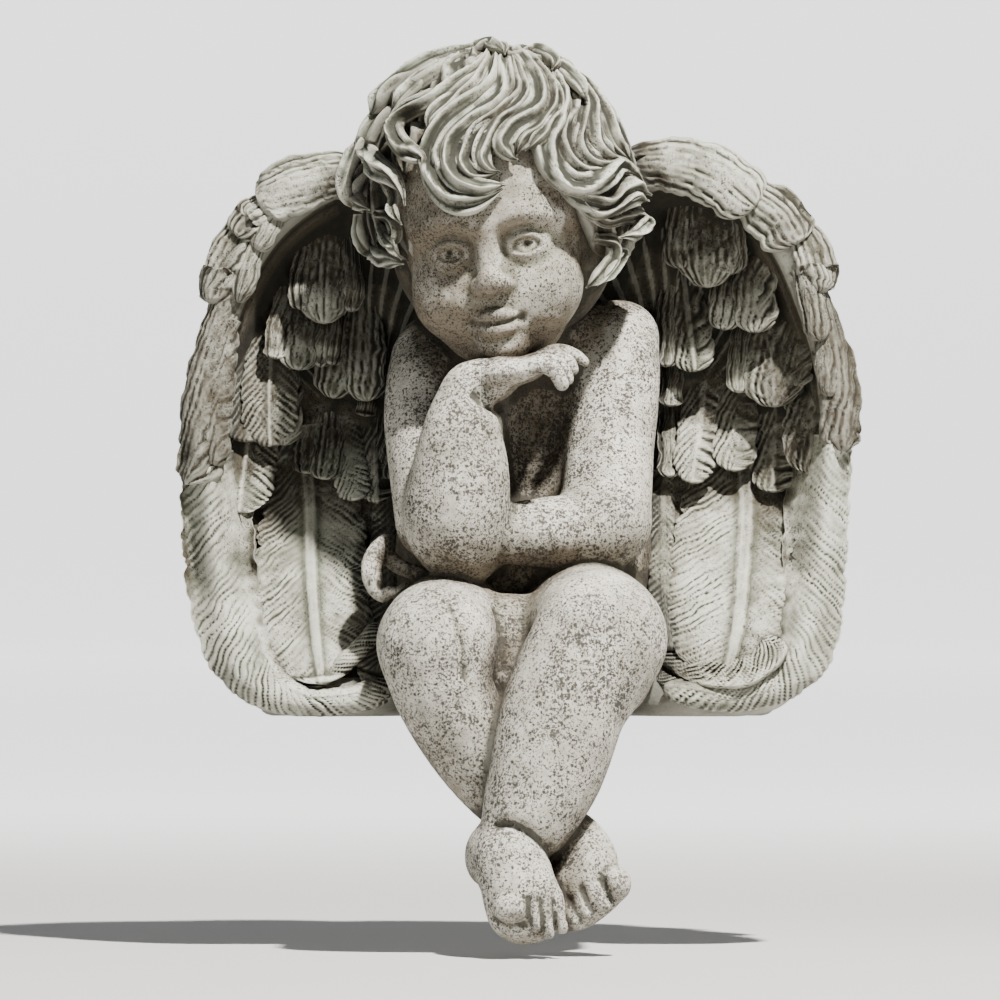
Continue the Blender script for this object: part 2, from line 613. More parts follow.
# %% A tree that turns lines into strips
class Tree(Net):
    """A Geometry Nodes tree from lines to strips, with a named input for each size."""

    def __init__(self, name, **sizes):
        super().__init__(bpy.data.node_groups.new(name, "GeometryNodeTree"))
        self.group.interface.new_socket("Lines", in_out="INPUT", socket_type="NodeSocketGeometry")
        self.group.interface.new_socket("Strips", in_out="OUTPUT", socket_type="NodeSocketGeometry")
        self.keys = {}
        for size, value in sizes.items():
            kind = "NodeSocketInt" if isinstance(value, int) else "NodeSocketFloat"
            socket = self.group.interface.new_socket(size, in_out="INPUT", socket_type=kind)
            socket.default_value = value
            self.keys[size] = socket.identifier
        socket = self.group.interface.new_socket("Stone", in_out="INPUT", socket_type="NodeSocketMaterial")
        self.keys["Stone"] = socket.identifier
        self.given = self.group.nodes.new("NodeGroupInput").outputs
        self.result = self.group.nodes.new("NodeGroupOutput").inputs[0]

    def read(self, name, kind="FLOAT"):
        return self.add("GeometryNodeInputNamedAttribute", name, data_type=kind)

    def write(self, geometry, name, value):
        return self.add("GeometryNodeStoreNamedAttribute", geometry, None, name, value, data_type="FLOAT",
                        domain="POINT")


# %% The part of the tree that hair and feathers share
FRONT_SHARE = 0.76  # of an outline's points that lie on its front, where the grooves are
RING_DEPTH = 0.01  # of the flat ring that is swept, for each part of its width


def sweep(tree):
    """Sweeps a flat ring along the lines; carve gives it its thickness.

    Leaves on the mesh: across, -1 to 1 over the strip; up, 1 on its front, 0 at its edge, -1 behind."""
    curve = tree.add("GeometryNodeMeshToCurve", tree.given["Lines"])
    away = tree.read("away", "FLOAT_VECTOR")
    curve = tree.add("GeometryNodeSetCurveNormal", curve, None, away, mode="FREE")
    ring = tree.add("GeometryNodeCurvePrimitiveCircle", tree.given["Sides"], 1.0, mode="RADIUS")
    share = tree.add("GeometryNodeSplineParameter")
    front = tree.math("MINIMUM", tree.math("DIVIDE", share, FRONT_SHARE), 1.0)
    behind = tree.math("DIVIDE", tree.less(share, FRONT_SHARE), 1 - FRONT_SHARE)
    there = tree.less(front, tree.math("MAXIMUM", behind, 0.0))
    turn = tree.times(there, math.pi)
    even = tree.less(1.0, tree.times(there, 2.0))
    span = tree.times(tree.plus(tree.math("COSINE", turn), even), 0.5)
    sign = tree.less(1.0, tree.times(tree.math("GREATER_THAN", share, FRONT_SHARE), 2.0))
    rise = tree.math("SQRT", tree.math("MAXIMUM", tree.less(1.0, tree.times(span, span)), 0.0))
    rise = tree.times(rise, sign)
    ring = tree.write(ring, "across", span)
    ring = tree.write(ring, "up", rise)
    place = tree.add("ShaderNodeCombineXYZ", tree.times(rise, RING_DEPTH), tree.times(span, -1.0), 0.0)
    ring = tree.add("GeometryNodeSetPosition", ring, None, place)
    return tree.add("GeometryNodeCurveToMesh", curve, ring, tree.read("girth"), True)


def carve(tree, mesh, thickness, relief, cutting, notch=0.0, conform=0.0):
    """Swells the strips by thickness each way and bends them by conform; moves their front by relief and
    their edges in by notch; cutting, 1 at the bottom of a groove, is kept for the dirt."""
    front = tree.math("POWER", tree.math("MAXIMUM", tree.read("up"), 0.0), 0.5)
    mesh = tree.write(mesh, "cutting", tree.times(cutting, front))
    lift = tree.plus(tree.times(thickness, tree.read("up")), tree.times(relief, front))
    lift = tree.plus(lift, conform)
    aside = tree.times(tree.math("POWER", tree.read("across"), 7.0), notch)
    offset = tree.add("ShaderNodeVectorMath", tree.read("away", "FLOAT_VECTOR"), lift, operation="SCALE")
    inwards = tree.add("ShaderNodeVectorMath", tree.read("beside", "FLOAT_VECTOR"), aside, operation="SCALE")
    offset = tree.add("ShaderNodeVectorMath", offset, inwards, operation="ADD")
    mesh = tree.add("GeometryNodeSetPosition", mesh, None, None, offset)
    mesh = tree.add("GeometryNodeSetShadeSmooth", mesh)
    mesh = tree.add("GeometryNodeRealizeInstances", mesh)
    mesh = tree.add("GeometryNodeSetMaterial", mesh, None, tree.given["Stone"])
    tree.group.links.new(mesh, tree.result)


# %% Lines as a mesh of points and edges
def line_mesh(name, lines):
    """lines is a list of dicts with points, away and girth for each point, and values for each line."""
    count = [len(line["points"]) for line in lines]
    mesh = bpy.data.meshes.new(name)
    starts = np.cumsum([0] + count)
    edges = np.concatenate([np.stack([np.arange(a, b - 1), np.arange(a + 1, b)], 1)
                            for a, b in zip(starts, starts[1:])])
    mesh.vertices.add(starts[-1])
    points = np.concatenate([line["points"] for line in lines]) * PART
    mesh.vertices.foreach_set("co", points.astype(np.float32).ravel())
    mesh.edges.add(len(edges))
    mesh.edges.foreach_set("vertices", edges.astype(np.int32).ravel())
    ahead = np.concatenate([np.gradient(line["points"], axis=0) for line in lines])
    away = np.concatenate([line["away"] for line in lines])
    beside = np.cross(away, ahead)
    beside /= np.linalg.norm(beside, axis=1)[:, None]
    for key, vectors in (("away", away), ("beside", beside)):
        layer = mesh.attributes.new(key, "FLOAT_VECTOR", "POINT")
        layer.data.foreach_set("vector", vectors.astype(np.float32).ravel())
    for key in lines[0]:
        if key not in ("points", "away"):
            layer = mesh.attributes.new(key, "FLOAT", "POINT")
            values = np.concatenate([np.ones(n) * line[key] for n, line in zip(count, lines)])
            values *= PART if key == "girth" else 1
            layer.data.foreach_set("value", values.astype(np.float32))
    return mesh


# %% From lines to carved strips
def strips(name, tree, lines, material, **sizes):
    """Runs the tree over the lines and keeps what it makes as a plain mesh."""
    mesh = line_mesh(name, lines)
    holder = bpy.data.objects.new(name, mesh)
    bpy.context.scene.collection.objects.link(holder)
    modifier = holder.modifiers.new("Strips", "NODES")
    modifier.node_group = tree.group
    modifier[tree.keys["Stone"]] = material
    for size, value in sizes.items():
        modifier[tree.keys[size]] = value
    bpy.context.view_layer.update()
    made = bpy.data.meshes.new_from_object(holder.evaluated_get(bpy.context.evaluated_depsgraph_get()))
    holder.modifiers.remove(modifier)
    holder.data = made
    bpy.data.meshes.remove(mesh)
    made.name = name
    print(name, "has", len(lines), "strips and", len(made.polygons), "faces")
    return holder


# %% [markdown]
# ## The hair
# The hair is a thick cap with heavy locks that spring from the crown, sweep across the forehead and curl up
# at their ends. Each lock is a strip with a few sharp ridges that wander a little, as a chisel leaves them.
# The cap itself is clay, so that no skull shows between the locks.

# %% The cap, and how a lock finds it
HAIR_CENTRE = np.array([-1.5, -4.0, 56.8])
HAIR_RADII = np.array([15.0, 14.0, 16.8])
CAP_GRAIN = GRAIN * 1.3
cap = Clay((-20, -21, 38), (15, 13, 76), CAP_GRAIN)
cap.ball(HAIR_CENTRE + [0, 1.0, 0.0], HAIR_RADII - 1.8)
cap.ball(HAIR_CENTRE + [0, 4.5, -6.0], (11.5, 8.5, 10.0), blend=3)
cap.ball((-2.9, -19.5, 46.6), (9.5, 9.0, 12.5), blend=2.5, cut=True)
hair_cap = skin(cap, "hair_cap")


def on_cap(across, down, proud=0.0):
    """The front of the hair where it is seen at (across, down), and the way out from there."""
    near, far = spot(across, down, -30.0), spot(across, down, 30.0)
    radii = HAIR_RADII + proud
    a, way = (near - HAIR_CENTRE) / radii, (far - near) / radii
    middle = -(a @ way) / (way @ way)
    gap = a + middle * way
    inside = 1 - gap @ gap
    share = middle - math.sqrt(inside / (way @ way)) if inside > 0 else middle
    point = near + share * (far - near)
    away = (point - HAIR_CENTRE) / radii**2
    return point, away / np.linalg.norm(away)


print("over the brow the hair is at", on_cap(500, 120)[0].round(1), "parts")


# %% The tree for a lock: a crowned strip with wandering ridges
def lock_tree():
    tree = Tree("locks", Sides=36, Flatness=0.62, Ridges=1.7, Ridge_depth=0.66, Wander=1.2)
    mesh = sweep(tree)
    place = tree.add("ShaderNodeCombineXYZ", tree.read("along"), tree.read("seed"), 0.0)
    noise = tree.add("ShaderNodeTexNoise", place, 0.16, 1.0, 0.5)
    drift = tree.times(tree.less(noise, 0.5), tree.given["Wander"], 6.0)
    phase = tree.times(tree.read("across"), tree.given["Ridges"], math.pi / 2)
    crest = tree.less(1.0, tree.math("ABSOLUTE", tree.math("SINE", tree.plus(phase, drift))))
    # A finer set of lines lies over the ridges, and a broad lock is no thicker than a middling one.
    fine = tree.plus(tree.times(phase, 3.3), tree.times(drift, 1.7))
    crest = tree.less(crest, tree.times(tree.math("ABSOLUTE", tree.math("SINE", fine)), 0.12))
    valley = tree.math("POWER", tree.less(0.95, crest), 1.6)
    deep = tree.math("MINIMUM", tree.read("girth"), 1.35 * PART)
    thickness = tree.times(tree.math("MINIMUM", tree.read("girth"), 1.7 * PART), tree.given["Flatness"])
    carve(tree, mesh, thickness, tree.times(crest, deep, tree.given["Ridge_depth"]), valley)
    return tree


locks = lock_tree()
print("a lock's tree has the inputs", ", ".join(locks.keys))

# %% The locks that frame the face, as they are seen: half width, then points from root to end
FRONT_LOCKS = [
    (6.5, [(475, 51), (451, 56), (425, 68), (404, 81), (385, 97), (377, 110), (369, 116)]),
    (6.9, [(480, 54), (458, 63), (434, 77), (412, 93), (395, 108), (382, 121), (371, 138), (370, 155),
           (380, 169), (393, 177), (402, 190), (405, 206)]),
    (6.1, [(482, 63), (469, 76), (451, 89), (430, 102), (412, 110), (399, 121), (395, 134), (404, 148),
           (417, 156), (423, 160), (417, 172)]),
    (5.6, [(488, 60), (480, 82), (460, 99), (443, 108), (432, 121), (429, 134)]),
    (8.2, [(495, 63), (490, 86), (471, 104), (451, 119), (438, 138), (433, 160), (438, 182), (454, 199),
           (473, 203), (490, 197), (503, 189)]),
    (7.4, [(503, 65), (503, 91), (488, 110), (469, 125), (451, 143), (448, 162), (458, 180), (477, 188),
           (495, 186), (505, 184)]),
    (6.5, [(512, 65), (516, 91), (503, 110), (486, 125), (469, 143), (462, 160), (471, 173), (486, 176),
           (501, 172)]),
    (5.6, [(519, 67), (525, 91), (516, 110), (499, 125), (486, 141), (482, 158), (490, 169), (501, 171)]),
    (6.5, [(521, 58), (536, 80), (538, 102), (525, 119), (510, 132), (503, 145), (510, 156), (518, 160)]),
    (5.6, [(529, 58), (547, 80), (551, 104), (542, 123), (527, 136), (519, 147), (516, 156)]),
    (4.8, [(538, 65), (555, 89), (558, 112), (547, 130), (534, 143), (525, 151)]),
    (7.4, [(547, 71), (560, 93), (560, 117), (549, 134), (545, 151), (553, 169), (569, 182), (588, 184),
           (605, 175), (618, 164), (634, 171), (642, 180)]),
    (6.1, [(555, 73), (571, 99), (569, 123), (564, 143), (569, 160), (584, 173), (603, 171), (618, 162)]),
    (5.6, [(564, 78), (579, 102), (579, 125), (579, 145), (590, 160), (608, 164), (623, 158)]),
    (5.6, [(571, 80), (588, 104), (592, 125), (597, 143), (610, 156), (627, 160)]),
    (5.6, [(575, 80), (597, 106), (608, 128), (616, 145), (631, 160)]),
    (7.4, [(558, 169), (569, 188), (586, 199), (605, 199), (621, 190), (636, 188), (651, 195)]),
    (5.6, [(573, 195), (590, 210), (612, 206), (631, 197), (649, 201)]),
    (5.6, [(584, 208), (603, 219), (625, 214), (642, 219), (636, 232), (618, 238)]),
    (4.8, [(595, 238), (612, 242), (610, 260), (597, 277), (586, 288)]),
    (3.9, [(608, 247), (621, 251), (612, 269), (597, 286)]),
    (5.6, [(380, 128), (363, 145), (351, 164), (346, 184), (352, 203), (363, 212)]),
    (5.2, [(382, 151), (369, 169), (358, 186), (359, 201), (370, 210)]),
    (4.3, [(374, 169), (386, 182), (395, 197), (393, 210), (402, 225)]),
    (4.8, [(360, 214), (361, 232), (369, 249), (386, 260), (404, 264)]),
    (4.3, [(373, 212), (391, 219), (397, 232), (393, 247), (402, 260)]),
    (3.9, [(380, 225), (386, 238), (395, 249)]),
    (4.8, [(475, 60), (476, 51), (489, 46), (502, 49), (505, 55)]),
    (4.8, [(510, 58), (525, 53), (542, 54), (554, 63), (552, 70)]),
    (5.2, [(545, 65), (562, 71), (579, 86), (588, 102)]),
    (5.6, [(469, 56), (447, 67), (423, 82), (404, 97), (391, 112)]),
]


# %% A lock's line, from its place in the picture
def lock(points, girths, away, seed):
    """A lock's line: its girth swells from the root, and dies to a point."""
    share = np.linspace(0, 1, len(points))
    shape = np.where(share < 0.7, 0.62 + 0.38 * ease(0, 0.35, share), 1 - 0.9 * ease(0.7, 1.0, share) ** 1.3)
    along = np.concatenate([[0], np.cumsum(np.linalg.norm(np.diff(points, axis=0), axis=1))])
    return {"points": points, "away": away, "girth": girths * shape, "along": along, "seed": seed}


CROWN_ACROSS = 497
hair_lines = []
for number, (half, line) in enumerate(FRONT_LOCKS):
    a, d = line[0]
    if 54 < d < 90 and a > 470:  # This one starts below the crown, so its root is carried on up to it.
        line = [(CROWN_ACROSS + 0.55 * (a - CROWN_ACROSS), 0.5 * d + 23), *line]
    dense = spline(line, 30)
    share = np.linspace(0, 1, len(dense))
    lifts = -0.9 + 0.8 * np.sin(2.6 * share) + 1.3 * ease(0.45, 0.9, share) + 0.25 * (number % 3)
    placed = [on_cap(a, d, lift) for (a, d), lift in zip(dense, lifts)]
    points, away = (np.array(side) for side in zip(*placed))
    hair_lines.append(lock(points, 1.9 * reach(half, -15), away, 7.3 * number))
print(len(hair_lines), "locks frame the face")

# %% The back of the head, by rule: rings of locks that fall from the crown in waves
BACK_RINGS = ((15, 12), (15, 34), (14, 62))  # locks in a ring, and degrees from the crown to their roots
for ring, (count, begin) in enumerate(BACK_RINGS):
    for i in range(count):
        around = math.radians(-38 + 256 * (i + 0.5 * (ring % 2)) / (count - 1))
        points, away = [], []
        for s in np.linspace(0, 1, 22):
            down = math.radians(begin + 54 * s)
            swing = around + (0.16 * math.sin(6.0 * s + 2.1 * i + ring) + 0.1 * s) / max(math.sin(down), 0.35)
            flat = math.sin(down)
            way = np.array([math.cos(swing) * flat, math.sin(swing) * flat, math.cos(down)])
            radii = HAIR_RADII - [2.1, 1.0, 0.9] + 0.5 * math.sin(3.0 * s)
            points.append(HAIR_CENTRE + [0, 1.0, -0.2] + way * radii)
            away.append(way)
        hair_lines.append(lock(np.array(points), 2.7, np.array(away), 31.7 * ring + 5.1 * i))
print(len(hair_lines), "locks in all")


# %% [markdown]
# ## The wings
# Each wing is a cupped hand of stone. Its rim rolls forward at the top and the outer side, the hollow lies
# deep behind the arm, and the long feathers run down it and curl forward over the foot. The cup is one
# surface with a formula for its depth; feathers are strips laid on that surface, so a change to the cup
# carries every feather with it. The long feathers are a piece of their own, since a feather that is so wide
# needs more sides than a small one.

# %% The cup
WING_OUTLINE = [
    (0.0, 0.0), (13.0, 0.0), (24.5, 0.0), (30.6, 1.7), (34.2, 8.0), (36.0, 17.0), (36.8, 26.0), (37.8, 33.0),
    (37.0, 40.5), (35.0, 47.2), (31.7, 54.8), (27.0, 60.3), (20.5, 63.8), (14.0, 62.4), (7.0, 56.0),
    (0.0, 47.0), (-4.0, 35.0), (-5.0, 15.0),
]  # (x, z) of the left wing's edge, in parts
WING_CENTRE = np.array([15.0, 31.0])
WING_SCALE = {1: np.array([0.972, 1.0, 0.99]), -1: np.array([-0.962, 1.0, 0.972])}
WING_THICKNESS = 3.8  # of stone at least, behind the hollow
EDGE_POINTS = 280
edge_line = spline(WING_OUTLINE, EDGE_POINTS, closed=True)
edge_line[:, 1] = np.maximum(edge_line[:, 1], 0.05)
edge_angle = np.arctan2(*(edge_line - WING_CENTRE).T[::-1])
edge_far = np.linalg.norm(edge_line - WING_CENTRE, axis=1)
edge_order = np.argsort(edge_angle)


def roll_radius(z):
    """How thick the rolled rim is, at each height."""
    return np.interp(z, [0.0, 3.0, 12.0, 24.0, 60.0], [1.6, 1.7, 2.2, 1.6, 1.8])


def rim_depth(z):
    """How far behind the origin the rim stands, at each height."""
    return -9.4 + 5.4 * ease(0.0, 19.0, z) + 5.6 * ease(17.0, 64.0, z)


def edge_share(x, z):
    """0 in the middle of the wing, 1 on its edge."""
    dx, dz = x - WING_CENTRE[0], z - WING_CENTRE[1]
    far = np.interp(np.arctan2(dz, dx), edge_angle[edge_order], edge_far[edge_order], period=2 * math.pi)
    return np.hypot(dx, dz) / far


def back_depth(x, z):
    """How far behind the origin the plain back of the wing lies at (x, z)."""
    return 15.4 - 13.0 * np.clip(((x - 9.0) / 29.5) ** 2 + 0.6 * ((z - 30.0) / 36.0) ** 4, 0, 1.2)


def cup_depth(x, z, wall=1.0):
    """How far behind the origin the wing's front lies at (x, z); with a low wall, the hollow runs on flat."""
    deep = np.minimum(9.5 - 15.0 * ease(37.0, 3.0, z), back_depth(x, z) - WING_THICKNESS)
    above, share = ease(14.0, 30.0, z), edge_share(x, z)
    rise = wall * ease(0.52 + 0.24 * above, 0.96 - 0.08 * above, share) * ease(8.0, 20.0, x)
    radius = roll_radius(z)
    inside = np.clip((1 - share) * 24.0 / radius - 1, -1, 1)
    return deep + (rim_depth(z) - deep) * rise - 0.9 * radius * np.sqrt(1 - inside**2) * (wall == 1.0)


def on_cup(xz):
    return np.stack([xz[..., 0], cup_depth(xz[..., 0], xz[..., 1]), xz[..., 1]], axis=-1)


def on_bed(xz):
    return np.stack([xz[..., 0], cup_depth(xz[..., 0], xz[..., 1], 0.3), xz[..., 1]], axis=-1)


def on_roll(xz):
    """The rim's crest, which its plates follow; it runs on level over the wall and turns down outside."""
    x, z = xz[..., 0], xz[..., 1]
    outside = np.clip(1 - (1 - edge_share(x, z)) * 24.0 / roll_radius(z), 0, 1)
    return np.stack([x, rim_depth(z) - roll_radius(z) * (0.3 + 0.7 * np.sqrt(1 - outside**2)), z], axis=-1)


def on_back(xz):
    return np.stack([xz[..., 0], back_depth(xz[..., 0], xz[..., 1]), xz[..., 1]], axis=-1)


# %% The cup's mesh
def cup_mesh(name, side):
    """Rows of points from the middle of the hollow over the rim to the middle of the back."""
    shares = np.concatenate([np.linspace(0.01, 0.82, 34), 1 - 0.17 * (1 - np.linspace(0, 1, 16)) ** 1.6])
    rows = []
    for s in shares:
        row = on_cup(WING_CENTRE + s * (edge_line - WING_CENTRE))
        # Faint rays show in the upper hollow, where no feather lies.
        ray = np.abs(np.sin(34 * edge_angle + 2.0 * math.sin(6 * s) + 1.3 * np.sin(5 * edge_angle)))
        ray = ray * ease(34.0, 44.0, row[:, 2]) * ease(0.25, 0.45, s) * ease(0.85, 0.7, s)
        row[:, 1] += 0.5 + 0.3 * ray
        rows.append(row)
    start = rows[-1][:, 1]
    outer = WING_CENTRE + 0.97 * (edge_line - WING_CENTRE)
    rows.append(np.stack([edge_line[:, 0], start + 2.0, edge_line[:, 1]], axis=1))
    rows.append(np.stack([outer[:, 0], start + 4.0, outer[:, 1]], axis=1))
    rows += [on_back(WING_CENTRE + s * (edge_line - WING_CENTRE))
             for s in (0.9, 0.8, 0.7, 0.6, 0.45, 0.3, 0.15, 0.01)]
    points = np.concatenate(rows) * WING_SCALE[side] * PART
    count, faces = len(edge_line), []
    for first in range(0, (len(rows) - 1) * count, count):
        for i, j in ((i, (i + 1) % count) for i in range(count)):
            faces.append((first + i, first + j, first + count + j, first + count + i))
    faces += [tuple(range(count))[::-1], tuple(range((len(rows) - 1) * count, len(rows) * count))]
    mesh = bpy.data.meshes.new(name)
    mesh.from_pydata(points.tolist(), [], [f[::-side] for f in faces])
    made = bpy.data.objects.new(name, mesh)
    bpy.context.scene.collection.objects.link(made)
    mesh.shade_smooth()
    return made


cups = {side: cup_mesh(name, side) for side, name in ((1, "left_cup"), (-1, "right_cup"))}
print("each cup has", len(cups[1].data.polygons), "faces")


# %% The tree for a feather: crown, shaft and slanting barbs
def feather_tree():
    tree = Tree("feathers", Sides=34, Pitch=0.72, Slant=1.5, Depth=0.38, Shaft=0.55)
    half = tree.math("DIVIDE", tree.read("girth"), PART)
    mesh = sweep(tree)
    off = tree.less(tree.read("across"), tree.read("shaft_at"))
    aside = tree.times(tree.math("ABSOLUTE", off), half)
    side = tree.times(tree.math("SIGN", off), 9.0)
    along = tree.read("along")
    place = tree.add("ShaderNodeCombineXYZ", along, tree.plus(aside, side), tree.read("seed"))
    noise = tree.less(tree.add("ShaderNodeTexNoise", place, 0.3, 2.0, 0.5), 0.5)
    # Barbs leave the shaft at a slant and bend outwards; on a small covert they fan out from its root.
    bent = tree.times(tree.given["Slant"], tree.math("POWER", aside, 0.85))
    slanting = tree.math("DIVIDE", tree.less(along, bent), tree.given["Pitch"])
    fanned = tree.times(tree.read("across"), tree.read("wide"), 1.15)
    mix = tree.read("fan")
    phase = tree.plus(tree.times(slanting, tree.less(1.0, mix)), tree.times(fanned, mix))
    phase = tree.plus(phase, tree.times(noise, tree.less(2.2, mix)))
    # Each groove is sharp, and chance makes some deep and some faint.
    count = tree.plus(tree.plus(tree.math("FLOOR", phase), side), tree.read("seed"))
    chance = tree.add("ShaderNodeTexWhiteNoise", count, noise_dimensions="1D")
    groove = tree.math("ABSOLUTE", tree.less(tree.times(tree.math("FRACT", phase), 2.0), 1.0))
    groove = tree.math("POWER", groove, 3.0)
    strength = tree.plus(0.35, tree.times(tree.math("POWER", chance, 2.5), 1.9))
    scratch = tree.math("SINE", tree.plus(tree.times(phase, 8.3), tree.times(noise, 9.0)))
    scratch = tree.math("POWER", tree.math("ABSOLUTE", scratch), 2.0)
    far = tree.math("DIVIDE", aside, half)
    ends = tree.plus(tree.times(mix, 0.35), tree.plus(0.2, tree.times(tree.fade(far, 0.1, 0.8), 0.85)))
    groove = tree.plus(tree.times(groove, strength), tree.times(scratch, mix, 0.22))
    groove = tree.times(groove, ends, tree.given["Depth"])
    # The shaft is a flat-topped bar, and no groove crosses it.
    near = tree.math("DIVIDE", aside, tree.read("bar"))
    shaft = tree.math("DIVIDE", tree.given["Shaft"], tree.plus(1.0, tree.math("POWER", near, 6.0)))
    shaft = tree.times(shaft, tree.read("quill"))
    bar_hides = tree.less(1.0, tree.math("MINIMUM", tree.math("DIVIDE", shaft, 0.2), 1.0))
    thickness = tree.times(tree.fade(half, 0.0, 1.2), tree.read("thick"), PART)
    groove = tree.times(groove, tree.read("cut"))
    relief = tree.less(shaft, tree.times(groove, bar_hides))
    # The strip bends across to follow the surface that it lies on.
    conform = 0.0
    for power in (4, 3, 2, 1):
        conform = tree.times(tree.plus(conform, tree.read(f"bend_{power}")), tree.read("across"))
    dirt = tree.math("DIVIDE", groove, tree.given["Depth"])
    carve(tree, mesh, thickness, tree.times(relief, PART), dirt, tree.times(groove, -PART * 1.1),
          tree.times(conform, PART))
    return tree


feathers = feather_tree()
print("a feather's tree has the inputs", ", ".join(feathers.keys))

# %% [markdown]
# Every feather is given as it is seen: the points of its middle line in the picture, and half its width there
# in pixels. The surface that it lies on gives the depth.


# %% A feather's line on a surface
def plan(side, across, down, surface):
    """Where on the wing's own (x, z) plan the picture shows (across, down), if the surface is there."""
    depth = 5.0
    for _ in range(5):
        x, _, z = spot(across, down, depth)
        place = np.array([x / WING_SCALE[side][0], z / WING_SCALE[side][2]])
        depth = surface(place)[1]
    return place, depth


def laid(surface, xz, lift, facing=1.0):
    """Points lift parts above the surface, and the way out there; in the hollow that is straight forward."""
    here, step = surface(xz), 0.4
    if surface in (on_cup, on_bed):
        normal = np.tile([0.0, -1.0, 0.0], (len(xz), 1))
        return here + normal * lift[:, None], normal
    normal = np.cross(surface(xz + [0, step]) - here, surface(xz + [step, 0]) - here) * -facing
    normal /= np.linalg.norm(normal, axis=-1, keepdims=True)
    return here + normal * lift[:, None], normal


def warp(surface, xz, normal, reach_aside):
    """How a strip must bend across to lie on the surface: factors of across and of its powers up to 4."""
    here = surface(xz)
    aside = np.cross(normal, np.gradient(here, axis=0))
    aside = aside / np.linalg.norm(aside, axis=1)[:, None] * reach_aside[:, None]
    odd, even = [], []
    for share in (0.45, 0.9):
        one, other = (((surface(xz + s * aside[:, [0, 2]]) - here) * normal).sum(1) for s in (share, -share))
        odd.append((one - other) / 2 / share)
        even.append((one + other) / 2 / share**2)
    gap = 0.9**2 - 0.45**2
    cube, fourth = (odd[1] - odd[0]) / gap, (even[1] - even[0]) / gap
    soft = np.ones(7) / 7
    return [np.convolve(np.pad(bend, 3, mode="edge"), soft, mode="valid")
            for bend in (odd[0] - cube * 0.45**2, even[0] - fourth * 0.45**2, cube, fourth)]


# %% [markdown]
# A feather is told apart from its neighbours by a few settings, all shares or parts. *lift* and *sink* are
# how high it lies and how deep its root goes under, and *curl* is how much its end rises again. *root* is
# the width there, *tip* the share of the length that its end takes, *square* how blunt that is, and *slim*
# how much it narrows before. *fan* turns slanting barbs (0) into flutes from the root (1), and *cut*
# deepens them. *quill* is the height of the shaft, *bar* its half width and *shaft_at* its place across.
# *thick* swells the whole, *facing* is -1 on the back, and *pace* is the gap between its rings.


# %% A feather, with all that its strip needs
def feather(side, points, half, lift=1.0, surface=on_bed, fan=0.0, quill=1.0, bar=0.34, shaft_at=0.0, tip=0.3,
            root=0.75, curl=0.0, thick=0.75, sink=0.8, cut=1.0, slim=0.0, seed=0.0, square=2.0, facing=1.0,
            pace=0.22, seen_so=True):
    """A feather along points, which are of the picture if seen_so, and else of the wing's own plan."""
    if seen_so:
        placed = [plan(side, a, d, surface) for a, d in points]
        half = reach(half, placed[-1][1])
        points = [place for place, _ in placed]
    rough = spline(points, 24)
    long = np.linalg.norm(np.diff(rough, axis=0), axis=1).sum()
    xz = spline(points, max(int(long / (pace * 1)), 12))
    share = np.linspace(0, 1, len(xz))
    height = (lift + sink) * ease(0.0, 0.7, share) - sink + curl * ease(1 - 1.6 * tip, 1.0, share)
    place, normal = laid(surface, xz, height, facing)
    mirror = WING_SCALE[side]
    place = place * mirror
    along = np.concatenate([[0], np.cumsum(np.linalg.norm(np.diff(place, axis=0), axis=1))])
    end = np.clip((share - (1 - tip)) / tip, 0, 1)
    shape = (root + (1 - root) * ease(0, 0.5, share)) * np.clip(1 - end**square, 0.0004, 1) ** (1 / square)
    beat = 2 * math.pi * along
    ragged = 1 + 0.03 * np.sin(beat / 4.3 + seed) + 0.02 * np.sin(beat / 2.1 + 2 * seed)
    shape = shape * (1 - slim * ease(0.5, 0.85, share))
    bends = warp(surface, xz, normal, side * half * shape * ragged)
    return {"points": place, "away": normal * np.sign(mirror), "girth": half * shape * ragged, "along": along,
            "seed": seed * 1.7 + 0.3, "quill": quill, "fan": fan, "shaft_at": shaft_at * side, "wide": half,
            "bar": bar * (1.25 - 0.6 * share), "thick": thick, "cut": cut,
            **dict(zip(("bend_1", "bend_2", "bend_3", "bend_4"), bends))}


print("a feather of the hollow is made of", len(feather(1, [(740, 180), (742, 285)], 30)["points"]), "rings")

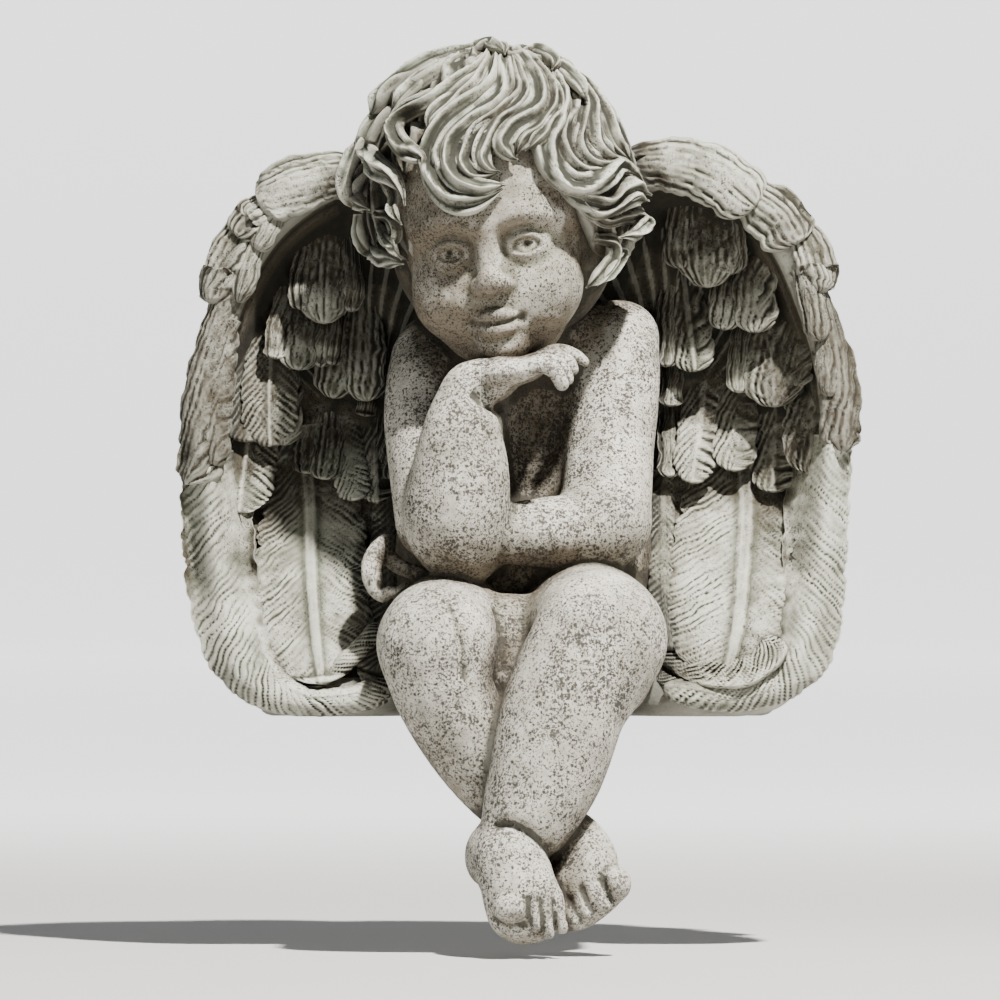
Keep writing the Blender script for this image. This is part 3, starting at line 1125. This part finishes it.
# %% The feathers of the right wing, which the picture shows on its left
RIGHT_LONG = {
    "outer": (([(216, 450), (216, 500), (219, 560), (228, 612), (246, 660), (277, 692), (322, 703),
                (394, 692)], 37),
              dict(lift=0.8, sink=-0.3, quill=0.5, bar=0.8, shaft_at=-0.8, tip=0.05, slim=0.62, root=0.97)),
    "middle": (([(303, 425), (311, 500), (312, 560), (316, 620), (322, 684)], 57),
               dict(lift=1.1, bar=0.62, tip=0.24, shaft_at=0.02)),
    "inner": (([(390, 470), (391, 560), (386, 640), (372, 690)], 24),
              dict(lift=0.6, bar=0.4, tip=0.2, quill=0.2)),
}
RIGHT_COVERTS = [
    ([(254, 405), (246, 460), (240, 514)], 27, dict(lift=2.4, fan=0.35, quill=0.9, bar=0.3)),
    ([(310, 415), (308, 450), (305, 474)], 13, dict(lift=1.7, fan=1.0, quill=0.0)),
    ([(330, 410), (327, 450), (322, 480)], 16, dict(lift=2.0, fan=1.0, quill=0.0)),
    ([(378, 415), (376, 460), (378, 504)], 15, dict(lift=1.2, fan=0.6, quill=0.3)),
    ([(342, 410), (348, 460), (358, 501)], 16, dict(lift=1.8, fan=0.3, quill=0.0)),
    ([(392, 400), (390, 440), (392, 480)], 13, dict(lift=0.8, fan=0.8, quill=0.0)),
    ([(366, 380), (367, 398), (365, 417)], 9, dict(lift=1.6, fan=1.0, quill=0.0)),
    ([(252, 340), (247, 400), (250, 443)], 20, dict(lift=2.0, fan=0.3, quill=0.3)),
    ([(272, 330), (270, 390), (271, 448)], 24, dict(lift=2.6, fan=0.3, quill=0.7, bar=0.26)),
    ([(288, 345), (286, 400), (284, 446)], 15, dict(lift=2.5, fan=0.8, quill=0.0)),
    ([(340, 310), (338, 360), (333, 399)], 19, dict(lift=2.4, fan=0.9, quill=0.0)),
    ([(360, 305), (364, 355), (368, 402)], 20, dict(lift=2.7, fan=0.9, quill=0.0)),
    ([(286, 290), (279, 330), (276, 360)], 11, dict(lift=2.6, fan=0.9, quill=0.0)),
    ([(340, 300), (335, 335), (332, 366)], 9, dict(lift=2.6, fan=1.0, quill=0.0)),
    ([(328, 298), (324, 335), (321, 368)], 9, dict(lift=2.8, fan=1.0, quill=0.0)),
    ([(304, 290), (301, 335), (299, 371)], 17, dict(lift=3.1, fan=1.0, quill=0.0)),
    ([(308, 245), (302, 280), (302, 311)], 11, dict(lift=3.0, fan=1.0, quill=0.0)),
    ([(348, 245), (351, 280), (352, 313)], 12, dict(lift=3.0, fan=1.0, quill=0.0)),
    ([(327, 235), (325, 285), (325, 325)], 20, dict(lift=3.5, fan=1.0, quill=0.0)),
]
RIGHT_RIM = [
    ([(226, 285), (212, 345), (203, 400), (201, 440), (199, 486)], 20, dict(fan=0.8, tip=0.1)),
    ([(230, 320), (222, 380), (217, 420), (216, 468)], 13, dict(fan=0.7, tip=0.16)),
    ([(250, 214), (233, 246), (223, 275), (217, 306)], 19, dict(fan=0.85, tip=0.22)),
    ([(262, 225), (252, 255), (245, 280), (238, 303)], 11, dict(fan=1.0, tip=0.3)),
    ([(283, 190), (266, 207), (250, 222), (236, 238)], 19, dict(fan=1.0, tip=0.2)),
    ([(284, 208), (272, 222), (264, 237), (256, 252)], 11, dict(fan=1.0, tip=0.3)),
    ([(362, 170), (332, 173), (306, 181), (284, 192), (262, 207)], 25, dict(fan=1.0, tip=0.12)),
]
RIGHT_LIP = {
    "curl": (([(300, 690), (320, 680), (345, 662), (366, 642), (382, 624)], 10),
             dict(lift=2.4, thick=0.9, tip=0.12, shaft_at=-1.0, cut=1.4)),
    "lip": (([(290, 690), (318, 700), (350, 698), (376, 690), (398, 676)], 13),
            dict(lift=0.9, thick=0.9, tip=0.06, shaft_at=-1.0, cut=1.4)),
}

# %% The feathers of the left wing
LEFT_LONG = {
    "outer": (([(822, 435), (818, 500), (815, 560), (811, 612), (799, 656), (771, 687), (726, 700),
                (662, 688)], 33),
              dict(lift=0.8, sink=-0.3, quill=0.5, bar=0.7, shaft_at=-0.8, tip=0.05, slim=0.62, root=0.97)),
    "middle": (([(734, 425), (736, 500), (732, 560), (727, 620), (718, 682)], 63),
               dict(lift=1.1, bar=0.72, tip=0.28, shaft_at=0.18)),
    "inner": (([(664, 470), (663, 540), (664, 600), (672, 650)], 15),
              dict(lift=0.6, bar=0.3, tip=0.2, quill=0.2)),
}
LEFT_COVERTS = [
    ([(775, 400), (773, 450), (772, 493)], 20, dict(lift=0.9, fan=0.6, quill=0.2)),
    ([(668, 400), (669, 440), (669, 478)], 11, dict(lift=1.2, fan=1.0, quill=0.0)),
    ([(812, 365), (811, 420), (807, 474)], 24, dict(lift=2.6, fan=0.75, quill=0.3)),
    ([(706, 380), (699, 430), (690, 484)], 19, dict(lift=1.9, fan=0.5, quill=0.3)),
    ([(740, 380), (735, 430), (733, 472)], 19, dict(lift=2.1, fan=0.6, quill=0.0)),
    ([(675, 350), (672, 380), (670, 407)], 10, dict(lift=1.6, fan=1.0, quill=0.0)),
    ([(744, 315), (741, 355), (738, 394)], 12, dict(lift=2.3, fan=1.0, quill=0.0)),
    ([(794, 305), (796, 350), (797, 388)], 13, dict(lift=2.3, fan=0.7, quill=0.0)),
    ([(768, 305), (771, 360), (774, 408)], 26, dict(lift=2.8, fan=0.8, quill=0.2)),
    ([(670, 290), (667, 330), (665, 368)], 12, dict(lift=2.4, fan=1.0, quill=0.0)),
    ([(684, 285), (690, 335), (694, 373)], 19, dict(lift=2.8, fan=0.7, quill=0.8, bar=0.3)),
    ([(733, 250), (726, 295), (723, 331)], 15, dict(lift=2.8, fan=0.9, quill=0.0)),
    ([(752, 240), (754, 290), (755, 334)], 19, dict(lift=3.2, fan=0.8, quill=0.0)),
    ([(690, 190), (681, 235), (682, 270)], 15, dict(lift=3.0, fan=1.0, quill=0.0)),
    ([(716, 190), (726, 240), (729, 276)], 16, dict(lift=3.0, fan=1.0, quill=0.0)),
    ([(702, 180), (706, 240), (707, 289)], 27, dict(lift=3.5, fan=1.0, quill=0.0)),
]
LEFT_RIM = [
    ([(812, 275), (829, 330), (838, 375), (841, 415), (839, 452)], 18, dict(fan=0.85, tip=0.12)),
    ([(800, 268), (812, 298), (818, 320), (822, 342)], 14, dict(fan=0.9, tip=0.2)),
    ([(822, 330), (827, 352), (829, 378), (832, 400)], 12, dict(fan=0.9, tip=0.3)),
    ([(798, 225), (810, 248), (816, 270), (818, 295)], 20, dict(fan=1.0, tip=0.4)),
    ([(742, 188), (763, 204), (781, 222), (796, 246)], 26, dict(fan=0.95, tip=0.18)),
    ([(628, 166), (660, 162), (697, 168), (728, 184), (756, 208)], 27, dict(fan=0.95, tip=0.14)),
]
LEFT_LIP = {
    "comb": (([(654, 640), (668, 656), (690, 668), (718, 674), (746, 671), (768, 655), (778, 636)], 15),
             dict(lift=2.2, thick=1.0, tip=0.1, shaft_at=-1.0, cut=1.6)),
    "lip": (([(652, 668), (672, 684), (704, 692), (742, 692), (776, 680)], 11),
            dict(lift=0.9, thick=0.9, tip=0.06, shaft_at=-1.0, cut=1.4)),
}


# %% Every feather's line
def long_feathers(side, long):
    """The three broad ones; their barbs are cut less deep."""
    return [feather(side, points, half, surface=on_cup, seed=half, cut=0.5, pace=0.25, **more)
            for (points, half), more in long.values()]


def short_feathers(side, coverts, rim, lip):
    """Those that lie in the hollow, along the rim, and over the curled ends of the long ones."""
    lines = []
    for number, (points, half, more) in enumerate(coverts):
        (a, b), *rest = points  # The root is carried on upwards, below the feather that covers it.
        points = [(a + 0.3 * (a - rest[0][0]), b - 26), *rest]
        lines.append(feather(side, points, 1.2 * half, curl=0.8, sink=2.0, seed=2.3 * number,
                             tip=min(0.45, 1.3 * half / 100), **more))
    for number, (points, half, more) in enumerate(rim):
        lines.append(feather(side, points, 1.2 * half, surface=on_roll, lift=0.2, thick=1.5, quill=0.0,
                             cut=0.7, seed=3.7 * number, **more))
    for (points, half), more in lip.values():
        lines.append(feather(side, points, half, surface=on_cup, quill=0.0, root=0.5, seed=half, **more))
    return lines


# For each row on the back: x of its first and last feather, height, length, half width and number.
BACK_ROWS = ((33, 5, 5, 26, 3.4, 6), (33, 6, 27, 14, 3.2, 6), (29, 7, 40, 13, 3.3, 5))


def back_feathers(side):
    """Overlapping rows on the plain back of a wing, by rule."""
    lines = []
    for first, last, down, long, half, count in BACK_ROWS:
        for i, x in enumerate(np.linspace(first, last, count)):
            tip = (x, down + 0.6 * math.sin(2.4 * i))
            points = [(x - 2.0, down + long), (x - 0.5, down + 0.5 * long), tip]
            lines.append(feather(side, points, half, lift=0.5 + 0.02 * down, surface=on_back, facing=-1.0,
                                 pace=0.36, seen_so=False, seed=1.3 * i + down))
    return lines


long_lines = {-1: long_feathers(-1, RIGHT_LONG), 1: long_feathers(1, LEFT_LONG)}
wing_lines = {
    -1: short_feathers(-1, RIGHT_COVERTS, RIGHT_RIM, RIGHT_LIP),
    1: short_feathers(1, LEFT_COVERTS, LEFT_RIM, LEFT_LIP),
}
print(len(wing_lines[-1]), "short feathers in the right wing and", len(wing_lines[1]), "in the left")

# %% [markdown]
# ## The pieces, and where dirt gathers on them
# Stone outdoors is never one colour: rain washes the ridges pale, and dirt and green growth stay in the
# grooves and in the sheltered hollows. So every point gets four numbers before any colour is chosen. Two
# compare the point with its smoothed neighbourhood, near and far. The third counts how much other stone
# stands close in front of it, and the fourth how far it lies behind the foremost stone around it. Pointiness
# from the Geometry node would be quicker, but it sees one scale only.

# %% Making the strips
flesh_stone = bpy.data.materials.new("flesh_stone")
face_stone = bpy.data.materials.new("face_stone")
carved_stone = bpy.data.materials.new("carved_stone")
for side in (1, -1):
    cups[side].data.materials.append(carved_stone)
hair = strips("hair", locks, hair_lines, carved_stone)
wings = {side: strips(name, feathers, wing_lines[side], carved_stone)
         for side, name in ((1, "wing_left"), (-1, "wing_right"))}
longs = {side: strips(name, feathers, long_lines[side], carved_stone, Sides=84, Pitch=1.0, Slant=1.3)
         for side, name in ((1, "long_left"), (-1, "long_right"))}
backs = {side: strips(name, feathers, back_feathers(side), carved_stone, Sides=18)
         for side, name in ((1, "back_left"), (-1, "back_right"))}
putto_body.data.materials.append(flesh_stone)
putto_head.data.materials.append(face_stone)
for piece in (hair_cap, seat_slab):
    piece.data.materials.append(carved_stone)
pieces = [putto_body, putto_head, hair_cap, seat_slab, hair, *cups.values(), *wings.values(), *longs.values(),
          *backs.values()]


# %% Reading points, and smoothing over them
def values(layer, key, wide=3):
    """A mesh layer's numbers as an array."""
    out = np.empty(len(layer) * wide, np.float32)
    layer.foreach_get(key, out)
    return out.reshape(-1, wide)


def near_mean(points, edges, rounds):
    """Each point drawn to the mean of its neighbours, so many times over."""
    ends = np.concatenate([edges, edges[:, ::-1]])
    many = np.maximum(np.bincount(ends[:, 0], minlength=len(points)), 1)
    for _ in range(rounds):
        total = [np.bincount(ends[:, 0], points[ends[:, 1], k], len(points)) for k in range(3)]
        points = 0.4 * points + 0.6 * np.stack(total, 1) / many[:, None]
    return points


def blurred(grid, radii):
    """Box means along every axis, once for each radius."""
    for axis in range(grid.ndim):
        for radius in radii:
            pad = [(radius + 1, radius) if k == axis else (0, 0) for k in range(grid.ndim)]
            total = np.cumsum(np.pad(grid, pad), axis=axis)
            ahead = np.roll(total, -(2 * radius + 1), axis=axis)
            grid = np.take((ahead - total) / (2 * radius + 1), range(grid.shape[axis]), axis=axis)
    return grid


# %% How crowded the air is in front of each point
CELL = 1.0  # of the coarse grid, in parts
crowd_start = np.array([-46, -46, -34])
crowd = np.zeros((92, 74, 118), np.float32)  # 1 in each cell that holds stone
for piece in pieces:
    cells = np.floor(values(piece.data.vertices, "co") / PART / CELL).astype(int) - crowd_start
    cells = np.clip(cells, 0, np.array(crowd.shape) - 1)
    crowd[tuple(cells.T)] = 1.0
REACH = 26  # cells that a stone can stand off and still shelter another
padded = np.pad(crowd, REACH + 1)
shade = np.zeros_like(crowd)
sky_ways = [(a, f, u) for u, ring in ((1.0, (-0.7, 0.0, 0.7)), (0.45, (-0.8, 0.0, 0.8)))
            for a in ring for f in (-0.2, -0.9)]
for way in sky_ways:
    step = np.array(way) / np.linalg.norm(way)
    hit = np.zeros_like(crowd)
    for far in range(2, REACH):
        i, j, k = np.round(step * far).astype(int) + REACH + 1
        hit = np.maximum(hit, padded[i:i + crowd.shape[0], j:j + crowd.shape[1], k:k + crowd.shape[2]])
    shade += hit / len(sky_ways)
shade = blurred(shade, (1,))
crowd = blurred(crowd, (2, 3))
print("of the cells,", round(100 * float((shade > 0.5).mean())), "% see less than half of the sky")

# %% How far back the foremost stone stands around each spot of the picture
FINE_CELL = 0.25
NOTHING = 99.0  # the depth where there is no stone
level_start = np.array([-46, -34])
foremost = np.full((368, 448), NOTHING)
for piece in pieces:
    points = values(piece.data.vertices, "co") / PART
    cells = np.floor((points[:, [0, 2]] - level_start) / FINE_CELL).astype(int)
    np.minimum.at(foremost, tuple(cells.T), points[:, 1])
filled = (foremost < NOTHING).astype(float)
level = blurred(foremost * filled, (4, 5)) / np.maximum(blurred(filled, (4, 5)), 1e-6)
print("stone covers", round(100 * float(filled.mean())), "% of the picture's grid")

# %% The four numbers of each point
FINE_ROUNDS, BROAD_ROUNDS = 3, 24  # of smoothing, for the near and the far neighbourhood


def soot_and_soil(piece, points, normals, shelter):
    """Adds to the shelter what the grids can't tell."""
    if piece in cups.values():  # No rain reaches the bottom of the hollow between the feathers.
        x, z = (points / WING_SCALE[1 if piece is cups[1] else -1])[:, [0, 2]].T
        inside = ease(1.0, 0.95, edge_share(x, z)) * ease(8.0, 24.0, z) * (normals[:, 1] < 0.2)
        shelter = np.maximum(shelter, inside * ease(-1.0, 0.8, points[:, 1] - rim_depth(z)))
    if piece in wings.values():  # Soot has stayed on the rims, most of all low down on the outside.
        soot = (0.36 + 0.59 * ease(24.0, 31.0, np.abs(points[:, 0]))) * ease(23.0, 29.0, points[:, 2])
        shelter = np.maximum(shelter, soot * (1 - 0.35 * ease(42.0, 50.0, points[:, 2])))
    if piece is putto_head:  # The face is a little dirtier on the side away from the rain.
        shelter = np.maximum(shelter, 0.36 * ease(3.0, -6.0, points[:, 0]) + 0.24)
    return shelter


def weather(piece):
    """Stores groove (fine), hollow (broad), sheltered and sunk on the mesh, each about 0 to 1."""
    mesh = piece.data
    points = values(mesh.vertices, "co").astype(float) / PART
    normals = values(mesh.vertex_normals, "vector")
    edges = np.empty(len(mesh.edges) * 2, np.int32)
    mesh.edges.foreach_get("vertices", edges)
    edges = edges.reshape(-1, 2)
    fine = near_mean(points, edges, FINE_ROUNDS)
    broad = near_mean(fine, edges, BROAD_ROUNDS)
    groove = np.clip(0.5 + 8.0 * ((fine - points) * normals).sum(1), 0, 1)
    hollow = np.clip(0.5 + 2.0 * ((broad - points) * normals).sum(1), 0, 1)
    cells = np.round((points + 3.0 * normals) / CELL - crowd_start - 0.5).astype(int)
    around = crowd[tuple(np.clip(cells, 0, np.array(crowd.shape) - 1).T)]
    cells = np.round((points + 1.8 * normals) / CELL - crowd_start - 0.5).astype(int)
    dark = shade[tuple(np.clip(cells, 0, np.array(shade.shape) - 1).T)]
    shelter = np.maximum(ease(0.10, 0.42, around), ease(0.45, 0.98, dark))
    shelter = near_mean(np.repeat(shelter[:, None], 3, 1), edges, 8)[:, 0]
    shelter = soot_and_soil(piece, points, normals, shelter)
    if "cutting" in mesh.attributes:
        cutting = values(mesh.attributes["cutting"].data, "value", 1)[:, 0]
        groove = np.clip(0.5 + 0.5 * (groove - 0.5) + 0.5 * (cutting - 0.2), 0, 1)
    spots = np.floor((points[:, [0, 2]] - level_start) / FINE_CELL).astype(int)
    spots = np.clip(spots, 0, np.array(level.shape) - 1)
    sunk = ease(0.1, 2.4, points[:, 1] - level[tuple(spots.T)]) * ease(0.2, -0.4, normals[:, 1])
    for name, number in (("groove", groove), ("hollow", hollow), ("sheltered", shelter), ("sunk", sunk)):
        layer = mesh.attributes.new(name, "FLOAT", "POINT")
        layer.data.foreach_set("value", number.astype(np.float32))
    return shelter.mean()


for piece in pieces:
    dark = round(float(weather(piece)), 2)
    piece.data.calc_loop_triangles()
    print(piece.name, "has", len(piece.data.loop_triangles), "triangles and is sheltered by", dark)

# %% [markdown]
# ## The stone
# It is cast stone that has stood outdoors: pale where it is washed, peppered with dark pits a millimetre
# wide, green-grey in the carving and brown under the wings. Pits and grain also dent the surface, through
# Bump, since they are far too small to model. The shader is rough and has no shine. Flesh, face and carving
# are the same stone with more or less dirt, so one recipe makes all three.


# %% Groups that the three finishes share
def shader_group(name, inputs, outputs):
    """An empty group: its net, the sockets that come in, and those that go out."""
    group = bpy.data.node_groups.new(name, "ShaderNodeTree")
    for title, value in inputs.items():
        kind = "NodeSocketVector" if value is None else "NodeSocketFloat"
        socket = group.interface.new_socket(title, in_out="INPUT", socket_type=kind)
        if value is not None:
            socket.default_value = value
    for title in outputs:
        group.interface.new_socket(title, in_out="OUTPUT", socket_type="NodeSocketFloat")
    return Net(group), group.nodes.new("NodeGroupInput").outputs, group.nodes.new("NodeGroupOutput").inputs


def pits_group():
    """Dark pits in clusters: Size is the usual distance between the large ones in metres, Cover how many."""
    net, given, result = shader_group("pits", {"Place": None, "Size": 0.001, "Cover": 0.3}, ("Pit",))
    often = net.math("DIVIDE", 1.0, given["Size"])
    warped = net.add("ShaderNodeTexNoise", given["Place"], net.math("MULTIPLY", often, 1.4), 2.0, 0.6, out=1)
    offset = net.add("ShaderNodeVectorMath", warped, net.times(given["Size"], 1.1), operation="SCALE")
    place = net.add("ShaderNodeVectorMath", given["Place"], offset, operation="ADD")
    patch = net.add("ShaderNodeTexNoise", given["Place"], 45.0, 4.0, 0.65)
    cover = net.plus(given["Cover"], net.times(net.less(patch, 0.5), 1.3))
    result_pit = 0.0
    for scale in (1.0, 1.9):
        cell = net.group.nodes.new("ShaderNodeTexVoronoi")
        net.group.links.new(place, cell.inputs["Vector"])
        net.group.links.new(net.math("MULTIPLY", often, scale), cell.inputs["Scale"])
        chance = net.add("ShaderNodeSeparateColor", cell.outputs["Color"])
        room = net.times(net.less(cover, chance), 0.85)
        spot_here = net.fade(net.less(room, cell.outputs["Distance"]), -0.10, 0.06)
        result_pit = net.math("MAXIMUM", result_pit, spot_here)
    # Between the large pits the skin is worn into short, fine marks.
    worn = net.add("ShaderNodeTexNoise", place, net.math("MULTIPLY", often, 1.25), 2.0, 0.55)
    edge = net.less(0.67, net.times(cover, 0.17))
    worn = net.times(net.fade(worn, edge, net.plus(edge, 0.05)), 0.9)
    result_pit = net.math("MAXIMUM", result_pit, worn)
    net.group.links.new(result_pit, result["Pit"])
    return net.group


def clouds_group():
    """Slow changes of tone over the surface, 0 to 1, of a given size in metres."""
    net, given, result = shader_group("clouds", {"Place": None, "Size": 0.02}, ("Tone",))
    noise = net.add("ShaderNodeTexNoise", given["Place"], net.math("DIVIDE", 1.0, given["Size"]), 4.0, 0.6)
    net.group.links.new(net.fade(noise, 0.34, 0.66), result["Tone"])
    return net.group


pits, clouds = pits_group(), clouds_group()
print("a pit takes", len(pits.nodes), "nodes, and a cloud", len(clouds.nodes))


# %% One recipe for the three finishes
def finish_stone(material, tones, pit_cover, pit_size, growth, edge_wash, blotches):
    """tones: pale, middle, green, brown and pit colours; growth is how readily green and brown settle."""
    material.use_nodes = True
    tree = material.node_tree
    net = Net(tree)
    shader = tree.nodes["Principled BSDF"]
    place = net.add("ShaderNodeTexCoord", out=3)
    groove, hollow, sheltered, sunk = (net.add("ShaderNodeAttribute", attribute_name=name, out=2)
                                       for name in ("groove", "hollow", "sheltered", "sunk"))
    normal = net.add("ShaderNodeNewGeometry", out=1)
    down = net.times(net.add("ShaderNodeSeparateXYZ", normal, out=2), -1.0)

    def used(group, **inputs):
        node = tree.nodes.new("ShaderNodeGroup")
        node.node_tree = group
        tree.links.new(place, node.inputs["Place"])
        for name, value in inputs.items():
            if isinstance(value, bpy.types.NodeSocket):
                tree.links.new(value, node.inputs[name])
            else:
                node.inputs[name].default_value = value
        return node.outputs[0]

    def blend(share, a, b):
        return net.add("ShaderNodeMix", share, a, b, data_type="RGBA")

    pale, middle, green, brown, dark = ((*tone, 1.0) for tone in tones)
    slow, quick = used(clouds, Size=0.03), used(clouds, Size=0.006)
    colour = blend(net.plus(net.times(slow, blotches), net.times(quick, 0.4)), pale, middle)
    # Green first, in grooves and broad hollows; then brown, where the stone is sheltered or faces down.
    moist = net.times(net.fade(groove, 0.42, 0.72), 0.55)
    moist = net.plus(moist, net.times(net.fade(hollow, 0.45, 0.85), 0.6))
    moist = net.plus(moist, net.times(sunk, 0.7))
    moist = net.times(net.plus(moist, net.times(slow, 0.25)), growth)
    colour = blend(net.math("MINIMUM", moist, 0.9), colour, green)
    soiled = net.times(net.fade(down, -0.1, 0.8), 0.75)
    soiled = net.plus(soiled, net.times(net.fade(sheltered, 0.1, 0.8), 0.95))
    soiled = net.times(soiled, net.plus(0.7, net.times(quick, 0.3)))
    colour = blend(net.math("MINIMUM", soiled, 0.93), colour, brown)
    # Then the pits, and the bottoms of grooves and gaps. Last, rain has washed the ridges pale.
    pit = used(pits, Size=pit_size, Cover=net.plus(pit_cover, net.times(sheltered, 0.15)))
    deep = net.math("MAXIMUM", net.fade(groove, 0.58, 0.9), net.fade(sunk, 0.35, 1.0))
    colour = blend(net.math("MAXIMUM", net.times(pit, 0.92), net.times(deep, 0.8)), colour, dark)
    wash = net.times(net.fade(groove, 0.46, 0.22), edge_wash, net.less(1.0, net.times(sheltered, 0.7)))
    colour = blend(wash, colour, pale)
    tree.links.new(colour, shader.inputs["Base Color"])
    grain = net.add("ShaderNodeTexNoise", place, 1400.0, 3.0, 0.7)
    lumps = net.add("ShaderNodeTexNoise", place, 180.0, 3.0, 0.6)
    height = net.plus(net.times(grain, 0.35), net.less(net.times(lumps, 0.9), net.times(pit, 0.5)))
    bump = tree.nodes.new("ShaderNodeBump")
    bump.inputs["Strength"].default_value = 0.75
    bump.inputs["Distance"].default_value = 0.0006
    tree.links.new(height, bump.inputs["Height"])
    tree.links.new(bump.outputs["Normal"], shader.inputs["Normal"])
    tree.links.new(net.plus(0.82, net.times(quick, 0.14)), shader.inputs["Roughness"])
    shader.inputs["Specular IOR Level"].default_value = 0.3


# %% The three finishes, and each piece's place in the part
SMOOTH_TONES = ((0.80, 0.765, 0.68), (0.40, 0.375, 0.315), (0.23, 0.235, 0.17), (0.165, 0.132, 0.092),
                (0.04, 0.035, 0.028))
CARVED_TONES = ((0.74, 0.735, 0.63), (0.27, 0.273, 0.215), (0.11, 0.12, 0.082), (0.06, 0.047, 0.031),
                (0.02, 0.019, 0.015))
finish_stone(flesh_stone, SMOOTH_TONES, pit_cover=0.62, pit_size=0.0015, growth=0.5, edge_wash=0.1,
             blotches=0.45)
finish_stone(face_stone, SMOOTH_TONES, pit_cover=0.45, pit_size=0.0012, growth=1.3, edge_wash=0.1,
             blotches=0.75)
finish_stone(carved_stone, CARVED_TONES, pit_cover=0.34, pit_size=0.0012, growth=1.0, edge_wash=0.6,
             blotches=0.75)
for piece in pieces:
    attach(piece, "root")
    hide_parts("putto")

# %% [markdown]
# ## Floor and light
# A low sun-like lamp from the upper right draws the carving, as daylight did on the real one, and a wide,
# cool one from the left keeps the shadows open. The floor is plain and pale and turns up behind the statue,
# so that nothing but the stone is looked at.


# %% Floor
FLOOR_GAP = 0.0005  # below the toes
FLOOR_FRONT, FLOOR_SIDE, WALL, WALL_TOP, BEND = -5.0, 6.0, 8.0, 6.0, 0.8  # in metres


def pale_floor():
    level = cad_box[0][2] - FLOOR_GAP
    bend = [(math.sin(a), 1 - math.cos(a)) for a in np.radians(np.arange(0, 91, 10))]
    profile = [(FLOOR_FRONT, level)] + [(WALL - BEND + BEND * s, level + BEND * c) for s, c in bend]
    profile += [(WALL, WALL_TOP)]
    points = [(x, y, z) for y, z in profile for x in (-FLOOR_SIDE, FLOOR_SIDE)]
    faces = [(2 * i, 2 * i + 1, 2 * i + 3, 2 * i + 2) for i in range(len(profile) - 1)]
    mesh = bpy.data.meshes.new("floor")
    mesh.from_pydata(points, [], faces)
    mesh.shade_smooth()
    floor = bpy.data.objects.new("floor", mesh)
    bpy.context.scene.collection.objects.link(floor)
    pale = bpy.data.materials.new("pale_floor")
    pale.use_nodes = True
    shader = pale.node_tree.nodes["Principled BSDF"]
    shader.inputs["Base Color"].default_value = (0.62, 0.62, 0.61, 1)
    shader.inputs["Roughness"].default_value = 0.9
    shader.inputs["Emission Color"].default_value = (1, 1, 1, 1)
    net = Net(pale.node_tree)
    depth = net.add("ShaderNodeSeparateXYZ", net.add("ShaderNodeTexCoord", out=3), out=1)
    # Further off it glows, so the picture's upper part stays pale.
    pale.node_tree.links.new(net.times(net.fade(depth, 0.2, 1.9), 1.6), shader.inputs["Emission Strength"])
    floor.data.materials.append(pale)


pale_floor()
print("the floor lies", round(-1000 * cad_box[0][2]), "mm below the seat")


# %% Lights
def lamp(name, place, aim, size, power, tint):
    light = bpy.data.lights.new(name, "AREA")
    light.shape = "DISK"
    light.size = size
    light.energy = power
    light.color = tint
    holder = bpy.data.objects.new(name, light)
    holder.location = place
    holder.rotation_euler = (Vector(aim) - Vector(place)).to_track_quat("-Z", "Y").to_euler()
    bpy.context.scene.collection.objects.link(holder)


MIDDLE_OF_STATUE = (0, 0, 0.1)
lamp("key", (0.68, -1.05, 2.35), MIDDLE_OF_STATUE, size=0.12, power=225, tint=(1, 0.97, 0.92))
lamp("fill", (-1.8, -1.8, 0.6), MIDDLE_OF_STATUE, size=1.8, power=3, tint=(0.80, 0.92, 1))
world = bpy.data.worlds.new("world")
world.use_nodes = True
world.node_tree.nodes["Background"].inputs["Color"].default_value = (0.88, 0.94, 1, 1)
world.node_tree.nodes["Background"].inputs["Strength"].default_value = 0.06
bpy.context.scene.world = world
